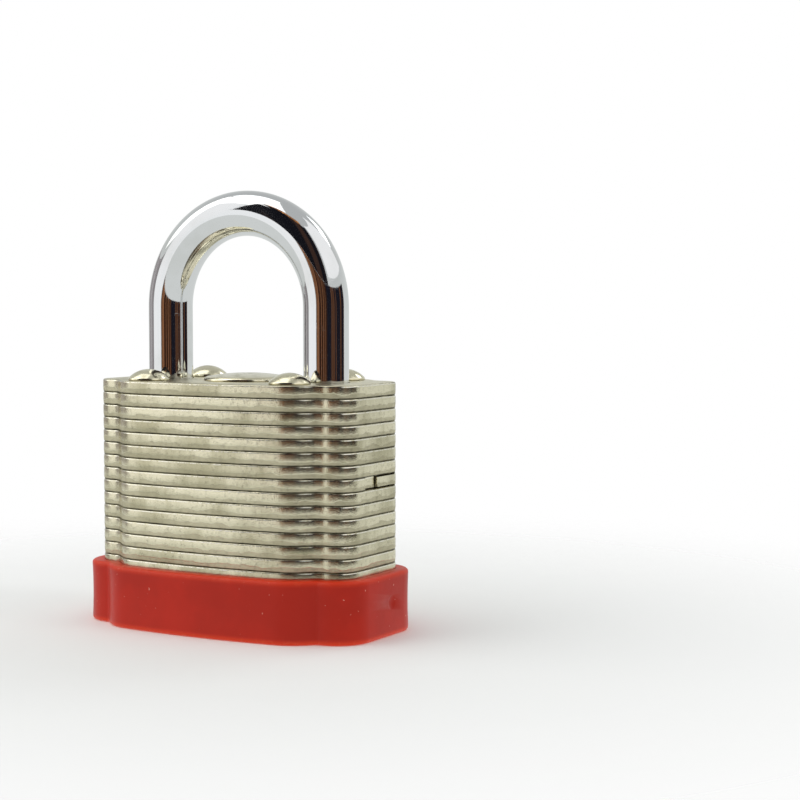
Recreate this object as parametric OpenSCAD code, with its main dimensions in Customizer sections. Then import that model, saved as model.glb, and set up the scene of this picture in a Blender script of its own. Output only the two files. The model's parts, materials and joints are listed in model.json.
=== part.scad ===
// Laminated padlock: a riveted stack of steel plates in a moulded boot,
// with a pin tumbler cylinder, a twin lever latch and a sprung shackle.
// Origin: centre of the resting face. X runs along the body's width,
// the front face looks along -Y and +Z points up through the shackle.

/* [Plates] */
// Width of the plate stack
body_w = 40; // [38:1:60]
// Depth of the plate stack at its middle
body_d = 21.6; // [20.8:0.2:34]
// Depth of the stepped ends
end_d = 14.8; // [12:0.2:17]
// Length of each stepped end
end_len = 4.1; // [3.6:0.1:6]
// Length of the slanted step between an end and a long side
step_run = 2.8; // [2:0.1:3.4]
// How far a long side crowns at its middle
side_crown = 0.7; // [0.3:0.05:1.2]
// Radius of the four end corners
end_corner_r = 3.0; // [2:0.1:3]
// Radius of the inside curve of each step
step_in_r = 2.6; // [1.6:0.1:2.6]
// Radius of the outside curve of each step
step_out_r = 4.4; // [2.4:0.1:4.4]
// Thickness of one plate
plate_t = 1.7; // [1.5:0.05:2.2]

/* [Shackle] */
// Diameter of the shackle bar
shackle_d = 6.0; // [5:0.1:7.2]
// Distance between the centres of the two legs
leg_spacing = 25; // [23.5:0.5:32]
// Clear height between the top plate and the arch
clear_h = 19.25; // [16:0.25:60]
// Depth of the latch notches in the legs
notch_depth = 0.95; // [0.8:0.05:1.2]
// Thickness of the toe below its notch
toe_lip = 1.2; // [1:0.1:1.3]
// Depth of the retainer flat along the heel leg
flat_depth = 0.9; // [0.6:0.05:1.2]
// Height of the collar at the foot of the heel leg
collar_h = 2.2; // [1.5:0.1:3]

/* [Rivets and cap] */
// Distance between rivets along the width
rivet_dx = 22.4; // [20:0.2:26]
// Distance between rivets along the depth
rivet_dy = 13.6; // [13:0.1:14]
// Diameter of a rivet shank
rivet_d = 3.2; // [2.6:0.1:3.4]
// Diameter of a rivet's domed head
rivet_head_d = 5.5; // [4.4:0.1:6]
// Height of a rivet's domed head
rivet_head_h = 1.5; // [1:0.1:2]
// Diameter of a rivet's peened foot
rivet_foot_d = 4.6; // [4:0.1:5]
// Diameter of the one foot that is peened wider
wide_foot_d = 5.3; // [4.6:0.1:5.6]
// Diameter of the centre cap
cap_d = 11.5; // [9:0.1:13]
// Height of the centre cap
cap_h = 1.0; // [0.8:0.1:2]
// Diameter of the centre cap's stem
cap_stem_d = 5.8; // [4:0.1:7]

/* [Boot] */
// Wall of the moulded boot
boot_wall = 1.7; // [1.2:0.1:2.4]
// Height of the boot
boot_h = 8.2; // [6:0.1:12]
// How far the base plate is set up inside the boot
boot_recess = 0.55; // [0.4:0.05:1]
// Width of the boot's turned-in lip
boot_lip = 0.4; // [0.2:0.05:0.8]

/* [Cylinder] */
// Diameter of the turning plug
plug_d = 12.0; // [11.6:0.1:12.6]
// Wall of the cylinder housing round the plug
housing_wall = 1.3; // [1:0.1:1.6]
// Width of the pin chest
chest_w = 5.2; // [4:0.1:6]
// Reach of the pin chest from the plug's axis
chest_reach = 13.8; // [13:0.1:15]
// Diameter of a pin
pin_d = 2.0; // [1.6:0.05:2.2]
// Distance between neighbouring pins
pin_pitch = 2.7; // [2.6:0.05:2.9]
// Length of a driver pin
driver_len = 3.0; // [2.4:0.1:3.4]
// Diameter of the bow-tie opening in the base plate
opening_d = 10.8; // [9:0.1:11.2]
// Width of the key slot that the opening sweeps
slot_w = 2.54; // [2.2:0.02:3]
// Turn of the key from locked to open, in degrees
key_turn = 60; // [50:1:70]

/* [Latch] */
// Swing of a lever from locked to open, in degrees
lever_swing = 30; // [29:1:32]
// How far a lever's nose reaches into its leg
nose_reach = 0.7; // [0.5:0.05:0.7]
// Radius of the cam from its axis to a lobe's tip
cam_reach = 5.2; // [4.6:0.1:5.4]
// Radius of a lobe's round tip
cam_tip_r = 1.2; // [0.9:0.1:1.4]

/* [Hidden] */
$fn = 64;
// Clearances
leg_clear = 0.15;
run_fit = 0.05;
layer_clear = 0.1;
seat_clear = 0.02;
swing_clear = 0.15;
// How far a cutter runs past what it cuts, and the least that it bites in
past = 1;
bite = 0.01;

// Levels of the stack. Plate 1 is the top one and the last is the base plate.
plate_count = 19;
latch_layer = 8;
retainer_layer = 3;
spring_layer = latch_layer - 1;
toe_floor_layer = 12;
top_z = boot_recess + plate_count*plate_t;
function plate_z(k) = top_z - k*plate_t;
base_top_z = plate_z(plate_count - 1);

// Shackle
leg_r = shackle_d/2;
leg_x = leg_spacing/2;
bore_r = leg_r + leg_clear;
arch_z = top_z + clear_h + leg_r - leg_x;
notch_top_z = plate_z(latch_layer - 1) + layer_clear;
lever_z = plate_z(latch_layer) + layer_clear;
lever_t = plate_t - 2*layer_clear;
// The nose is clear of the leg after this part of the swing, so the
// notch runs down by the same part of the shackle's lift.
nose_y = 0.2;
nose_w = 1.4;
nose_margin = 0.06;
clear_angle = asin((nose_reach + nose_margin)/(rivet_dy/2 + nose_y));
clear_part = clear_angle/lever_swing;
toe_margin = 0.5;
lift = (top_z - lever_z + toe_lip + toe_margin)/(1 - clear_part);
notch_z = lever_z - clear_part*lift;
notch_chamfer = 0.4;
toe_z = notch_z - toe_lip;
retainer_z = plate_z(retainer_layer) + layer_clear;
retainer_t = plate_t - 2*layer_clear;
collar_z = retainer_z - lift - layer_clear;
heel_z = collar_z - collar_h;
neck_h = retainer_t + 3*layer_clear;
spring_wire = 0.5;
spring_pocket_r = 1.5;
spring_pocket_h = 5.5;
spring_r = spring_pocket_r - run_fit - spring_wire/2 - 0.1;
leg_chamfer = 0.6;
spring_gap = 0.05;

// Rivets, named by where they stand
rivet_r = rivet_d/2;
rivet_x = rivet_dx/2;
rivet_y = rivet_dy/2;
foot_h = 0.9;
cap_rim_h = 0.55;

// Cylinder
plug_r = plug_d/2;
plug_z = base_top_z + run_fit;
housing_r = plug_r + run_fit + housing_wall;
toe_floor_z = plate_z(toe_floor_layer - 1);
clip_t = 0.7;
plug_top_z = toe_floor_z - layer_clear;
housing_top_z = plug_top_z - clip_t - layer_clear;
clip_r = plug_r + 0.8;
clip_groove_r = plug_r - 0.6;
clip_gap = 3.2;
pin_r = pin_d/2;
chamber_r = pin_r + run_fit;
pin_count = 4;
pin_margin = (housing_top_z - base_top_z - (pin_count - 1)*pin_pitch)/2;
function pin_z(i) = base_top_z + pin_margin + (i - 1)*pin_pitch;
// Lengths of the bottom pins, one for each cut of the key
function bottom_len(i) = [3.6, 4.2, 3.4, 3.9][i - 1];
pin_tip_h = 0.7;
pin_tip_r = 0.35*pin_r;
shear_gap = 0.02;
// A bottom pin's flat end stays inside the plug's round, so that it can turn in the bore
pin_drop = plug_r - sqrt(plug_r*plug_r - pin_r*pin_r);
cover_t = 0.7;
cover_w = 3.2;
cover_end = 0.6;
cover_h = housing_top_z - base_top_z - 2*cover_end;
pin_spring_wire = 0.28;
pin_spring_r = pin_r - pin_spring_wire/2 - 0.1;
slot_end_x = -2.8;
keyway_front_y = -0.7;
keyway_back_y = 1.5;
keyway_mid_y = 0.57;
keyway_step_x = -0.9;
keyway_step_run = 0.4;
keyway_roof = 0.4;
ward_slope = 0.3;
front_ward_x = 1.8;
back_ward_x = 2.95;
face_cone_r = 2.6;
face_cone_h = 0.5;
face_cone_x = 1.8;

// Cam and tailpiece
cam_shaft_r = 2.2;
cam_hub_r = 2.4;
cam_rest_angle = 200;
tang_w = 3.4;
tang_t = 1.4;
tang_h = 1.2;
cam_clear = 0.3;

// Levers. The nose stands in its leg's notch, the tail lies by the cam.
lever_eye_r = 2.3;
lever_wire = 0.42;
lever_coil_r = rivet_r + 0.2 + lever_wire/2;
lever_leg = 4;
lever_turns = 2.25;
arm_gap = 0.35;
arm_w = 1.95;
arm_left = -leg_x + leg_r + arm_gap;
arm_right = arm_left + arm_w;
nose_x = -leg_x + leg_r - nose_reach;
nose_slope = 0.5;
nose_rest = 0.3;

// The space that the levers swing in
space_wall = 1.6;
space_front_y = -(body_d/2 - space_wall);
space_back_y = 2.4;
space_left_in = 1.6;
space_right_in = 4.7;
space_up = 2.6;

// The window in each end of the latch plate, with the tongues that show in it
window_front_y = -2.7;
window_back_y = 5.0;
window_deep = 2.2;
tongue_gap_y = 0;
tongue_gap = 0.35;
tongue_set_in = 0.35;
tongue_slit = 0.22;

// The retainer beside the heel leg's flat, with plate left between it and the end
retainer_w = 3.6;
retainer_part = 0.64;
retainer_x = leg_x + leg_r - flat_depth + layer_clear;
retainer_len = (body_w/2 - retainer_x)*retainer_part;

// Coined marks in the base plate
ring_x = 11.35;
ring_y = -1.9;
ring_out_r = 3.45;
ring_in_r = 2.25;
coin_depth = 0.18;
crescent_x = -14.2;
crescent_y = -4.9;
crescent_out_r = 3.55;
crescent_in_r = 3.15;
crescent_shift = 0.5;

plate_steel = [0.74, 0.71, 0.63];
chrome = [0.82, 0.82, 0.84];
boot_red = [0.69, 0.15, 0.11];
brass = [0.76, 0.60, 0.30];
spring_steel = [0.55, 0.56, 0.58];

PLATES = [for (k = [1:plate_count - 1]) str("lamination_", k < 10 ? "0" : "", k)];

// ---- outline of a plate, or of a skin standing off it -------------------

// Points of the round at corner b of the path a-b-c, moved out by grow
function corner(a, b, c, r, grow, n = 8) =
    let (u = (a - b)/norm(a - b), v = (c - b)/norm(c - b),
         half = acos(u*v)/2,
         turn = cross(b - a, c - b) > 0 ? 1 : -1,
         mid = (u + v)/norm(u + v),
         centre = b + mid*r/sin(half),
         a0 = atan2(-mid[1], -mid[0]),
         sweep = 180 - 2*half)
    [for (i = [0:n]) let (t = a0 + turn*sweep*(i/n - 0.5))
        centre + (r + turn*grow)*[cos(t), sin(t)]];

// One quarter of the outline, from the end face round to the long side
function quarter(grow) =
    let (x_end = body_w/2, y_end = end_d/2,
         x_step = x_end - end_len, x_side = x_step - step_run,
         y_mid = body_d/2, y_side = y_mid - side_crown)
    concat(
        corner([x_end, 0], [x_end, y_end], [x_step, y_end], end_corner_r, grow),
        corner([x_end, y_end], [x_step, y_end], [x_side, y_side], step_in_r, grow, 6),
        corner([x_step, y_end], [x_side, y_side], [0, y_mid], step_out_r, grow, 6));

// The crowned long side between the two outside curves
function crown(grow) =
    let (x_side = body_w/2 - end_len - step_run, run = x_side - step_out_r*0.4,
         rise = side_crown*run/x_side, r = (run*run + rise*rise)/(2*rise), n = 8)
    [for (i = [1:n - 1]) let (x = run*(1 - 2*i/n))
        [x*(r + grow)/r, body_d/2 + grow - r + sqrt(r*r - x*x)]];

function mirror_x(p) = [for (i = [len(p) - 1:-1:0]) [-p[i][0], p[i][1]]];
function turn_round(p) = [for (q = p) -q];
function outline(grow = 0) =
    let (q = quarter(grow), half = concat(q, crown(grow), mirror_x(q)))
    concat(half, turn_round(half));

module at_rivets() for (sx = [-1, 1], sy = [-1, 1]) translate([sx*rivet_x, sy*rivet_y]) children();

// ---- plates --------------------------------------------------------------

module plate_face(legs = 2) {
    difference() {
        polygon(outline());
        at_rivets() circle(rivet_r + seat_clear);
        translate([leg_x, 0]) circle(bore_r);
        if (legs > 1) translate([-leg_x, 0]) circle(bore_r);
    }
}

// Plan of the cylinder housing: a round barrel and a chest for the pins
module housing_plan(grow = 0) {
    circle(housing_r + grow);
    translate([-chest_reach - grow, -chest_w/2 - grow])
        square([chest_reach + grow, chest_w + 2*grow]);
}

// Half of the space that the levers swing in; the other half is its half turn
module latch_space_half() {
    leg_side = -leg_x + leg_r - notch_depth - layer_clear;
    left = -rivet_x + space_left_in;
    right = rivet_x - space_right_in;
    translate([-rivet_x, -rivet_y]) circle(lever_eye_r + swing_clear);
    intersection() {
        polygon(outline(-space_wall));
        polygon([[left, space_front_y], [right, space_front_y], [right, 0], [0, space_back_y],
                 [leg_side, space_back_y], [leg_side, -rivet_y + space_up]]);
    }
}

// Window in an end face, where the latch layer shows its folded tongues: slits
// under, over and between the tongues, and the set-in of the front one
module end_window() {
    x0 = body_w/2;
    z0 = plate_z(latch_layer);
    deep = window_deep + past;
    tall = plate_t + 2*past;
    translate([x0 - window_deep, window_front_y, z0])
        cube([deep, window_back_y - window_front_y, tongue_slit]);
    translate([x0 - window_deep, tongue_gap_y, z0 + plate_t - tongue_slit])
        cube([deep, window_back_y - tongue_gap_y, tongue_slit + past]);
    translate([x0 - window_deep, tongue_gap_y, z0 - past]) cube([deep, tongue_gap, tall]);
    translate([x0 - window_deep, window_front_y, z0 - past]) cube([deep, tongue_slit, tall]);
    translate([x0 - tongue_set_in, window_front_y, z0 - past])
        cube([deep, tongue_gap_y - window_front_y, tall]);
}

module upper_plate(k) {
    linear_extrude(plate_t) difference() {
        plate_face();
        if (k <= 2) circle(cap_stem_d/2 + seat_clear);
        if (k == retainer_layer) retainer_pocket();
        if (k == spring_layer) {
            spring_pocket();
            rotate(180) spring_pocket();
        }
    }
}

module latch_plate() {
    difference() {
        translate([0, 0, plate_z(latch_layer)]) linear_extrude(plate_t) difference() {
            plate_face();
            latch_space_half();
            rotate(180) latch_space_half();
            circle(cam_reach + cam_clear);
        }
        end_window();
        rotate(180) end_window();
    }
}

module shaft_plate() {
    linear_extrude(plate_t) difference() {
        plate_face();
        circle(cam_shaft_r + run_fit);
    }
}

module cylinder_plate() {
    linear_extrude(plate_t) difference() {
        plate_face(1);
        housing_plan(seat_clear);
    }
}

module lamination(k) {
    color(plate_steel)
    if (k == latch_layer) latch_plate();
    else translate([0, 0, plate_z(k)])
        if (k < latch_layer) upper_plate(k);
        else if (k < toe_floor_layer) shaft_plate();
        else cylinder_plate();
}

// Sweep of the key slot between its locked and open turns, inside a circle
module bow_tie() {
    steps = 6;
    intersection() {
        circle(opening_d/2);
        union() for (i = [0:steps]) rotate(key_turn*i/steps)
            square([opening_d + 2, slot_w], center = true);
    }
    for (a = [0, 180]) intersection() {
        circle(opening_d/2);
        rotate(a) polygon(concat([[0, 0]], [for (i = [0:steps]) let (t = key_turn*i/steps)
            opening_d*[cos(t), sin(t)]]));
    }
}

module foot_cone(r_foot, grow = 0) {
    translate([0, 0, boot_recess - grow])
        cylinder(h = foot_h + grow, r1 = r_foot + grow, r2 = rivet_r + grow);
}

module base_plate() {
    color(plate_steel)
    difference() {
        translate([0, 0, boot_recess]) linear_extrude(plate_t) difference() {
            polygon(outline());
            at_rivets() circle(rivet_r + seat_clear);
            bow_tie();
        }
        for (sx = [-1, 1], sy = [-1, 1]) translate([sx*rivet_x, sy*rivet_y, 0])
            foot_cone((sx < 0 && sy < 0 ? wide_foot_d : rivet_foot_d)/2, seat_clear);
        translate([ring_x, ring_y, boot_recess - past]) difference() {
            cylinder(h = past + coin_depth, r = ring_out_r);
            translate([0, 0, -past]) cylinder(h = 3*past, r = ring_in_r);
        }
        translate([crescent_x, crescent_y, boot_recess - past]) difference() {
            cylinder(h = past + coin_depth, r = crescent_out_r);
            translate([crescent_shift, -crescent_shift, -past]) cylinder(h = 3*past, r = crescent_in_r);
        }
    }
}

module bumper_boot() {
    color(boot_red)
    difference() {
        linear_extrude(boot_h) polygon(outline(boot_wall));
        translate([0, 0, boot_recess]) linear_extrude(boot_h) polygon(outline());
        translate([0, 0, -past]) linear_extrude(boot_h) polygon(outline(-boot_lip));
    }
}

// ---- fasteners on the top ------------------------------------------------

module domed(r, h, n = 8) {
    R = (r*r + h*h)/(2*h);
    polygon(concat([[0, 0]], [for (i = [0:n]) let (x = r*(1 - i/n))
        [x, sqrt(R*R - x*x) - R + h]]));
}

module rivet(sx, sy) {
    r_foot = (sx < 0 && sy < 0 ? wide_foot_d : rivet_foot_d)/2;
    color(plate_steel)
    translate([sx*rivet_x, sy*rivet_y, 0]) {
        translate([0, 0, boot_recess]) cylinder(h = top_z - boot_recess, r = rivet_r);
        foot_cone(r_foot);
        translate([0, 0, top_z]) rotate_extrude() domed(rivet_head_d/2, rivet_head_h);
    }
}

module centre_cap() {
    color(plate_steel) {
        translate([0, 0, top_z]) cylinder(h = cap_rim_h, r = cap_d/2);
        translate([0, 0, top_z + cap_rim_h]) rotate_extrude() domed(cap_d/2, cap_h - cap_rim_h);
        translate([0, 0, top_z - 2*plate_t + layer_clear])
            cylinder(h = 2*plate_t - layer_clear, r = cap_stem_d/2);
    }
}

// ---- shackle, its retainer and its spring --------------------------------

module leg(z) {
    translate([0, 0, z + leg_chamfer]) cylinder(h = arch_z - z - leg_chamfer, r = leg_r);
    translate([0, 0, z]) cylinder(h = leg_chamfer, r1 = leg_r - leg_chamfer, r2 = leg_r);
}

// Notch in the inner side of a leg at the origin, with a chamfered lower lip
module notch() {
    face = leg_r - notch_depth;
    across = shackle_d + 2*past;
    lip = notch_depth - notch_chamfer;
    slope = notch_chamfer + 2*layer_clear;
    translate([face, -leg_r - past, notch_z]) cube([2*past, across, notch_top_z - notch_z]);
    translate([face, 0, notch_z]) rotate([90, 0, 0]) translate([0, 0, -leg_r - past])
        linear_extrude(across)
            polygon([[lip, bite], [lip, 0], [lip + slope, -slope], [lip + slope, bite]]);
}

// Quarter of the bend, over the toe leg
module quarter_bow() {
    translate([0, 0, arch_z]) rotate([90, 0, 0]) rotate(90)
        rotate_extrude(angle = 90) translate([leg_x, 0]) circle(leg_r);
}

module shackle() {
    color(chrome)
    difference() {
        union() {
            translate([-leg_x, 0, 0]) leg(toe_z);
            mirror([1, 0, 0]) translate([-leg_x, 0, 0]) leg(heel_z);
            quarter_bow();
            mirror([1, 0, 0]) quarter_bow();
        }
        translate([-leg_x, 0, 0]) notch();
        translate([leg_x, 0, 0]) rotate(180) notch();
        // flat and neck that the retainer rides in
        translate([leg_x + leg_r - flat_depth, -leg_r - past, collar_z])
            cube([2*past, shackle_d + 2*past, retainer_z + retainer_t + layer_clear - collar_z]);
        translate([leg_x, 0, collar_z]) difference() {
            cylinder(h = neck_h, r = leg_r + past);
            translate([0, 0, -past]) cylinder(h = neck_h + 2*past, r = leg_r - flat_depth);
        }
        translate([leg_x, 0, heel_z - past])
            cylinder(h = spring_pocket_h + past, r = spring_pocket_r);
    }
}

module retainer_pocket() {
    translate([retainer_x, -retainer_w/2 - seat_clear])
        square([retainer_len + seat_clear, retainer_w + 2*seat_clear]);
}
module shackle_retainer() {
    color(spring_steel) translate([retainer_x, -retainer_w/2, retainer_z])
        cube([retainer_len, retainer_w, retainer_t]);
}

// Round wire of diameter d along a path that never runs straight up
module wire(path, d, sides = 6) {
    last = len(path) - 1;
    rings = [for (i = [0:last]) let (
        t = path[min(i + 1, last)] - path[max(i - 1, 0)],
        across = cross(t, [0, 0, 1])/norm(cross(t, [0, 0, 1])),
        up = cross(across, t)/norm(t))
        for (j = [0:sides - 1]) let (a = 360*j/sides)
            path[i] + d/2*(cos(a)*across + sin(a)*up)];
    walls = [for (i = [0:last - 1]) for (j = [0:sides - 1])
        let (k = (j + 1)%sides) each [
            [i*sides + j, (i + 1)*sides + j, (i + 1)*sides + k],
            [i*sides + j, (i + 1)*sides + k, i*sides + k]]];
    ends = [[for (j = [0:sides - 1]) j], [for (j = [sides - 1:-1:0]) last*sides + j]];
    polyhedron(points = rings, faces = concat(walls, ends), convexity = 10);
}

// Wire coiled round +Z, standing from the origin to height h
module coil(r, d, turns, h, per_turn = 14) {
    wire([for (i = [0:turns*per_turn]) let (t = i/per_turn)
        [r*cos(360*t), r*sin(360*t), d/2 + (h - d)*t/turns]], d);
}

module shackle_spring() {
    h = heel_z + spring_pocket_h - base_top_z - 2*spring_gap;
    color(spring_steel) translate([leg_x, 0, base_top_z + spring_gap])
        coil(spring_r, spring_wire, floor(h/(spring_wire*1.35)), h);
}

// ---- cylinder ------------------------------------------------------------

// Everything along the pin stack is drawn up +Z from the plug's axis and
// then laid along -X
module pin_axis(i) translate([0, 0, pin_z(i)]) rotate([0, -90, 0]) children();

module cylinder_housing() {
    color(brass)
    difference() {
        translate([0, 0, base_top_z]) linear_extrude(housing_top_z - base_top_z) difference() {
            housing_plan();
            circle(plug_r + run_fit);
        }
        for (i = [1:pin_count]) pin_axis(i)
            translate([0, 0, plug_r - past]) cylinder(h = chest_reach, r = chamber_r);
        translate([-chest_reach - past, -cover_w/2 - seat_clear, base_top_z + cover_end])
            cube([past + cover_t + seat_clear, cover_w + 2*seat_clear, cover_h]);
    }
}

module chamber_cover() {
    color(brass) translate([-chest_reach, -cover_w/2, base_top_z + cover_end + seat_clear])
        cube([cover_t, cover_w, cover_h - 2*seat_clear]);
}

// Four points of a ward of width w and height h on the keyway's side at y
function ward(x, y, w, h) =
    [[x - w/2 - ward_slope, y], [x - w/2, y + h], [x + w/2, y + h], [x + w/2 + ward_slope, y]];

// Keyway: a broad slot open at the rim, with a narrow end and two wards
module keyway() {
    rim = plug_r + past;
    back = ward(back_ward_x, keyway_back_y, 0.5, -0.45);
    polygon(concat(
        [[slot_end_x, keyway_front_y]], ward(front_ward_x, keyway_front_y, 0.6, 0.5),
        [[rim, keyway_front_y], [rim, keyway_back_y]], [back[3], back[2], back[1], back[0]],
        [[keyway_step_x, keyway_back_y], [keyway_step_x - keyway_step_run, keyway_mid_y],
         [slot_end_x, keyway_mid_y]]));
}

module plug() {
    color(brass)
    difference() {
        translate([0, 0, plug_z]) cylinder(h = plug_top_z - plug_z, r = plug_r);
        translate([0, 0, plug_z - past])
            linear_extrude(housing_top_z - keyway_roof - plug_z + past) keyway();
        translate([face_cone_x, 0, plug_z - bite])
            cylinder(h = face_cone_h + bite, r1 = face_cone_r, r2 = face_cone_r - face_cone_h);
        for (i = [1:pin_count]) pin_axis(i)
            translate([0, 0, past]) cylinder(h = plug_r, r = chamber_r);
        translate([0, 0, housing_top_z + layer_clear]) difference() {
            cylinder(h = clip_t, r = plug_r + past);
            translate([0, 0, -past]) cylinder(h = clip_t + 2*past, r = clip_groove_r);
        }
        translate([-tang_w/2 - run_fit, -tang_t/2 - run_fit, plug_top_z - tang_h - run_fit])
            cube([tang_w + 2*run_fit, tang_t + 2*run_fit, tang_h + past]);
    }
}

// Snap ring in the plug's groove
module plug_clip() {
    color(spring_steel) translate([0, 0, housing_top_z + layer_clear + run_fit])
        linear_extrude(clip_t - 2*run_fit) difference() {
            circle(clip_r);
            circle(clip_groove_r + run_fit);
            translate([0, -clip_gap/2]) square([clip_r + past, clip_gap]);
        }
}

module cam_plan() {
    circle(cam_hub_r);
    tip_x = cam_reach - cam_tip_r;
    rotate(cam_rest_angle) {
        translate([-tip_x, -cam_tip_r]) square([2*tip_x, 2*cam_tip_r]);
        for (s = [-1, 1]) translate([s*tip_x, 0]) circle(cam_tip_r);
    }
}

module cam() {
    color(spring_steel) {
        translate([0, 0, lever_z]) linear_extrude(lever_t) cam_plan();
        translate([0, 0, plug_top_z]) cylinder(h = lever_z - plug_top_z, r = cam_shaft_r);
        translate([-tang_w/2, -tang_t/2, plug_top_z - tang_h]) cube([tang_w, tang_t, tang_h + bite]);
    }
}

module bottom_pin(i) {
    h = bottom_len(i);
    color(brass) pin_axis(i) translate([0, 0, plug_r - pin_drop - h]) {
        cylinder(h = pin_tip_h, r1 = pin_tip_r, r2 = pin_r);
        translate([0, 0, pin_tip_h]) cylinder(h = h - pin_tip_h, r = pin_r);
    }
}

module driver_pin(i) {
    color(spring_steel) pin_axis(i) translate([0, 0, plug_r + run_fit + shear_gap])
        cylinder(h = driver_len, r = pin_r);
}

module pin_spring(i) {
    z0 = plug_r + run_fit + shear_gap + driver_len + spring_gap;
    h = chest_reach - cover_t - spring_gap - z0;
    color(spring_steel) pin_axis(i) translate([0, 0, z0])
        coil(pin_spring_r, pin_spring_wire, 5, h, 12);
}

// ---- latch levers ----------------------------------------------------------

// The toe lever; the heel lever is the same piece turned half round
module lever_arm() {
    root_y = -leg_r - arm_gap;
    top_y = nose_y + nose_w + nose_rest;
    linear_extrude(lever_t)
        polygon([[-rivet_x, -rivet_y], [arm_left, root_y], [arm_left, nose_y - nose_slope],
                 [nose_x, nose_y], [nose_x, nose_y + nose_w], [arm_left, top_y],
                 [arm_right, top_y], [arm_right, root_y], [-rivet_x + 2.1, -rivet_y - 0.8]]);
}

// Finger that lies by the cam, drawn from the rivet's axis
module lever_tail() {
    linear_extrude(lever_t)
        polygon([[1.7, -1.0], [0, 0], [1.7, 1.7], [7.2, 3.6], [7.6, 2.9], [6.4, 1.7]]);
}

module lever(turn) {
    color(spring_steel) translate([0, 0, lever_z]) rotate(turn) difference() {
        union() {
            translate([-rivet_x, -rivet_y, 0]) cylinder(h = lever_t, r = lever_eye_r);
            lever_arm();
            translate([-rivet_x, -rivet_y, 0]) lever_tail();
        }
        translate([-rivet_x, -rivet_y, -past]) cylinder(h = lever_t + 2*past, r = rivet_r + run_fit);
    }
}

// Pocket for a lever's spring, wide enough for its straight leg to swing in
module spring_pocket() {
    r = lever_coil_r + lever_wire/2 + swing_clear;
    slot = lever_wire + 0.35;
    translate([-rivet_x, -rivet_y]) {
        circle(r);
        for (a = [0:lever_swing/6:lever_swing + 4]) rotate(-a)
            translate([0, r - slot]) square([lever_leg + 0.5, slot]);
    }
}

// Torsion spring round the rivet above a lever, with one straight leg
module lever_spring(turn) {
    per_turn = 16;
    h = lever_t - lever_wire;
    path = concat([[lever_leg, lever_coil_r, h], [lever_leg/2, lever_coil_r, h]],
        [for (i = [0:lever_turns*per_turn]) let (t = i/per_turn, a = 90 + 360*t)
            [lever_coil_r*cos(a), lever_coil_r*sin(a), h*(1 - t/lever_turns)]]);
    color(spring_steel) rotate(turn)
        translate([-rivet_x, -rivet_y, plate_z(spring_layer) + layer_clear + lever_wire/2])
            wire(path, lever_wire);
}

// ---- nodes -------------------------------------------------------------------

for (k = [1:plate_count - 1]) lamination(k);
base_plate();
bumper_boot();
shackle();
rivet(-1, -1);  // rivet_front_left
rivet(1, -1);  // rivet_front_right
rivet(-1, 1);  // rivet_rear_left
rivet(1, 1);  // rivet_rear_right
centre_cap();
cylinder_housing();
plug();
plug_clip();
cam();
chamber_cover();
for (i = [1:pin_count]) {
    bottom_pin(i);
    driver_pin(i);
    pin_spring(i);
}
lever(0);  // lever_toe
lever(180);  // lever_heel
lever_spring(0);  // lever_spring_toe
lever_spring(180);  // lever_spring_heel
shackle_retainer();
shackle_spring();
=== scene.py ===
"""Laminated padlock: finished pieces, finishes and a plain studio, built round the packed frame."""

import json
import math

import bmesh
import bpy
from bpy.props import FloatProperty, FloatVectorProperty, IntProperty, PointerProperty
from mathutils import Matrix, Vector

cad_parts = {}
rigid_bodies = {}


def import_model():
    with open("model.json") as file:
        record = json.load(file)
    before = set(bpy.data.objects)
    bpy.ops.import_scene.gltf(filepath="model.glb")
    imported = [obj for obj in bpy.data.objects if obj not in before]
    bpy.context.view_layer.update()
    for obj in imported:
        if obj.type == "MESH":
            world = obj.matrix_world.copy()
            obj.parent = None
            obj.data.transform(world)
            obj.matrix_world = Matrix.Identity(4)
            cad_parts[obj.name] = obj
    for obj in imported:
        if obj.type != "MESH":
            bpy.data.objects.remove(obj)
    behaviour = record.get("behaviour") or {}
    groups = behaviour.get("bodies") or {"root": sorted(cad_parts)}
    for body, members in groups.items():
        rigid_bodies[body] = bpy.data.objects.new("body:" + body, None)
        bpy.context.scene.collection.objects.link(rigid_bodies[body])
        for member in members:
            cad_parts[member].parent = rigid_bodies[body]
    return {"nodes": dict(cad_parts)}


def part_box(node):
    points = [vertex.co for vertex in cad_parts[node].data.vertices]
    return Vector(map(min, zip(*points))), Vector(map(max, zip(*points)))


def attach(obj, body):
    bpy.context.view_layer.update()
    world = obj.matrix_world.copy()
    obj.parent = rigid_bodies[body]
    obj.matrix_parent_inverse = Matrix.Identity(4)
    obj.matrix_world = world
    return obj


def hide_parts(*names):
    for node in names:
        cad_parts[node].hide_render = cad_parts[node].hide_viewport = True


bl_info = {
    "name": "Laminated padlock",
    "version": (1, 0, 0),
    "blender": (4, 5, 0),
    "location": "View3D > Sidebar > Padlock",
    "description": "Builds the plates, boot, shackle, rivets and cylinder of a laminated padlock",
    "category": "Object",
}

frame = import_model()

MM = 0.001
# Points closer than SNAP stand in one place, and points closer than MERGE are one point
SNAP = 0.02 * MM
MERGE = 0.002 * MM
# Size of the upright part of the normal: past FLAT a face isn't a wall, and past LEVEL it lies level
FLAT = 0.5
LEVEL = 0.9
FLAT_ANGLE = math.radians(0.3)
SMOOTH_ANGLE = math.radians(32)

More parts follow.
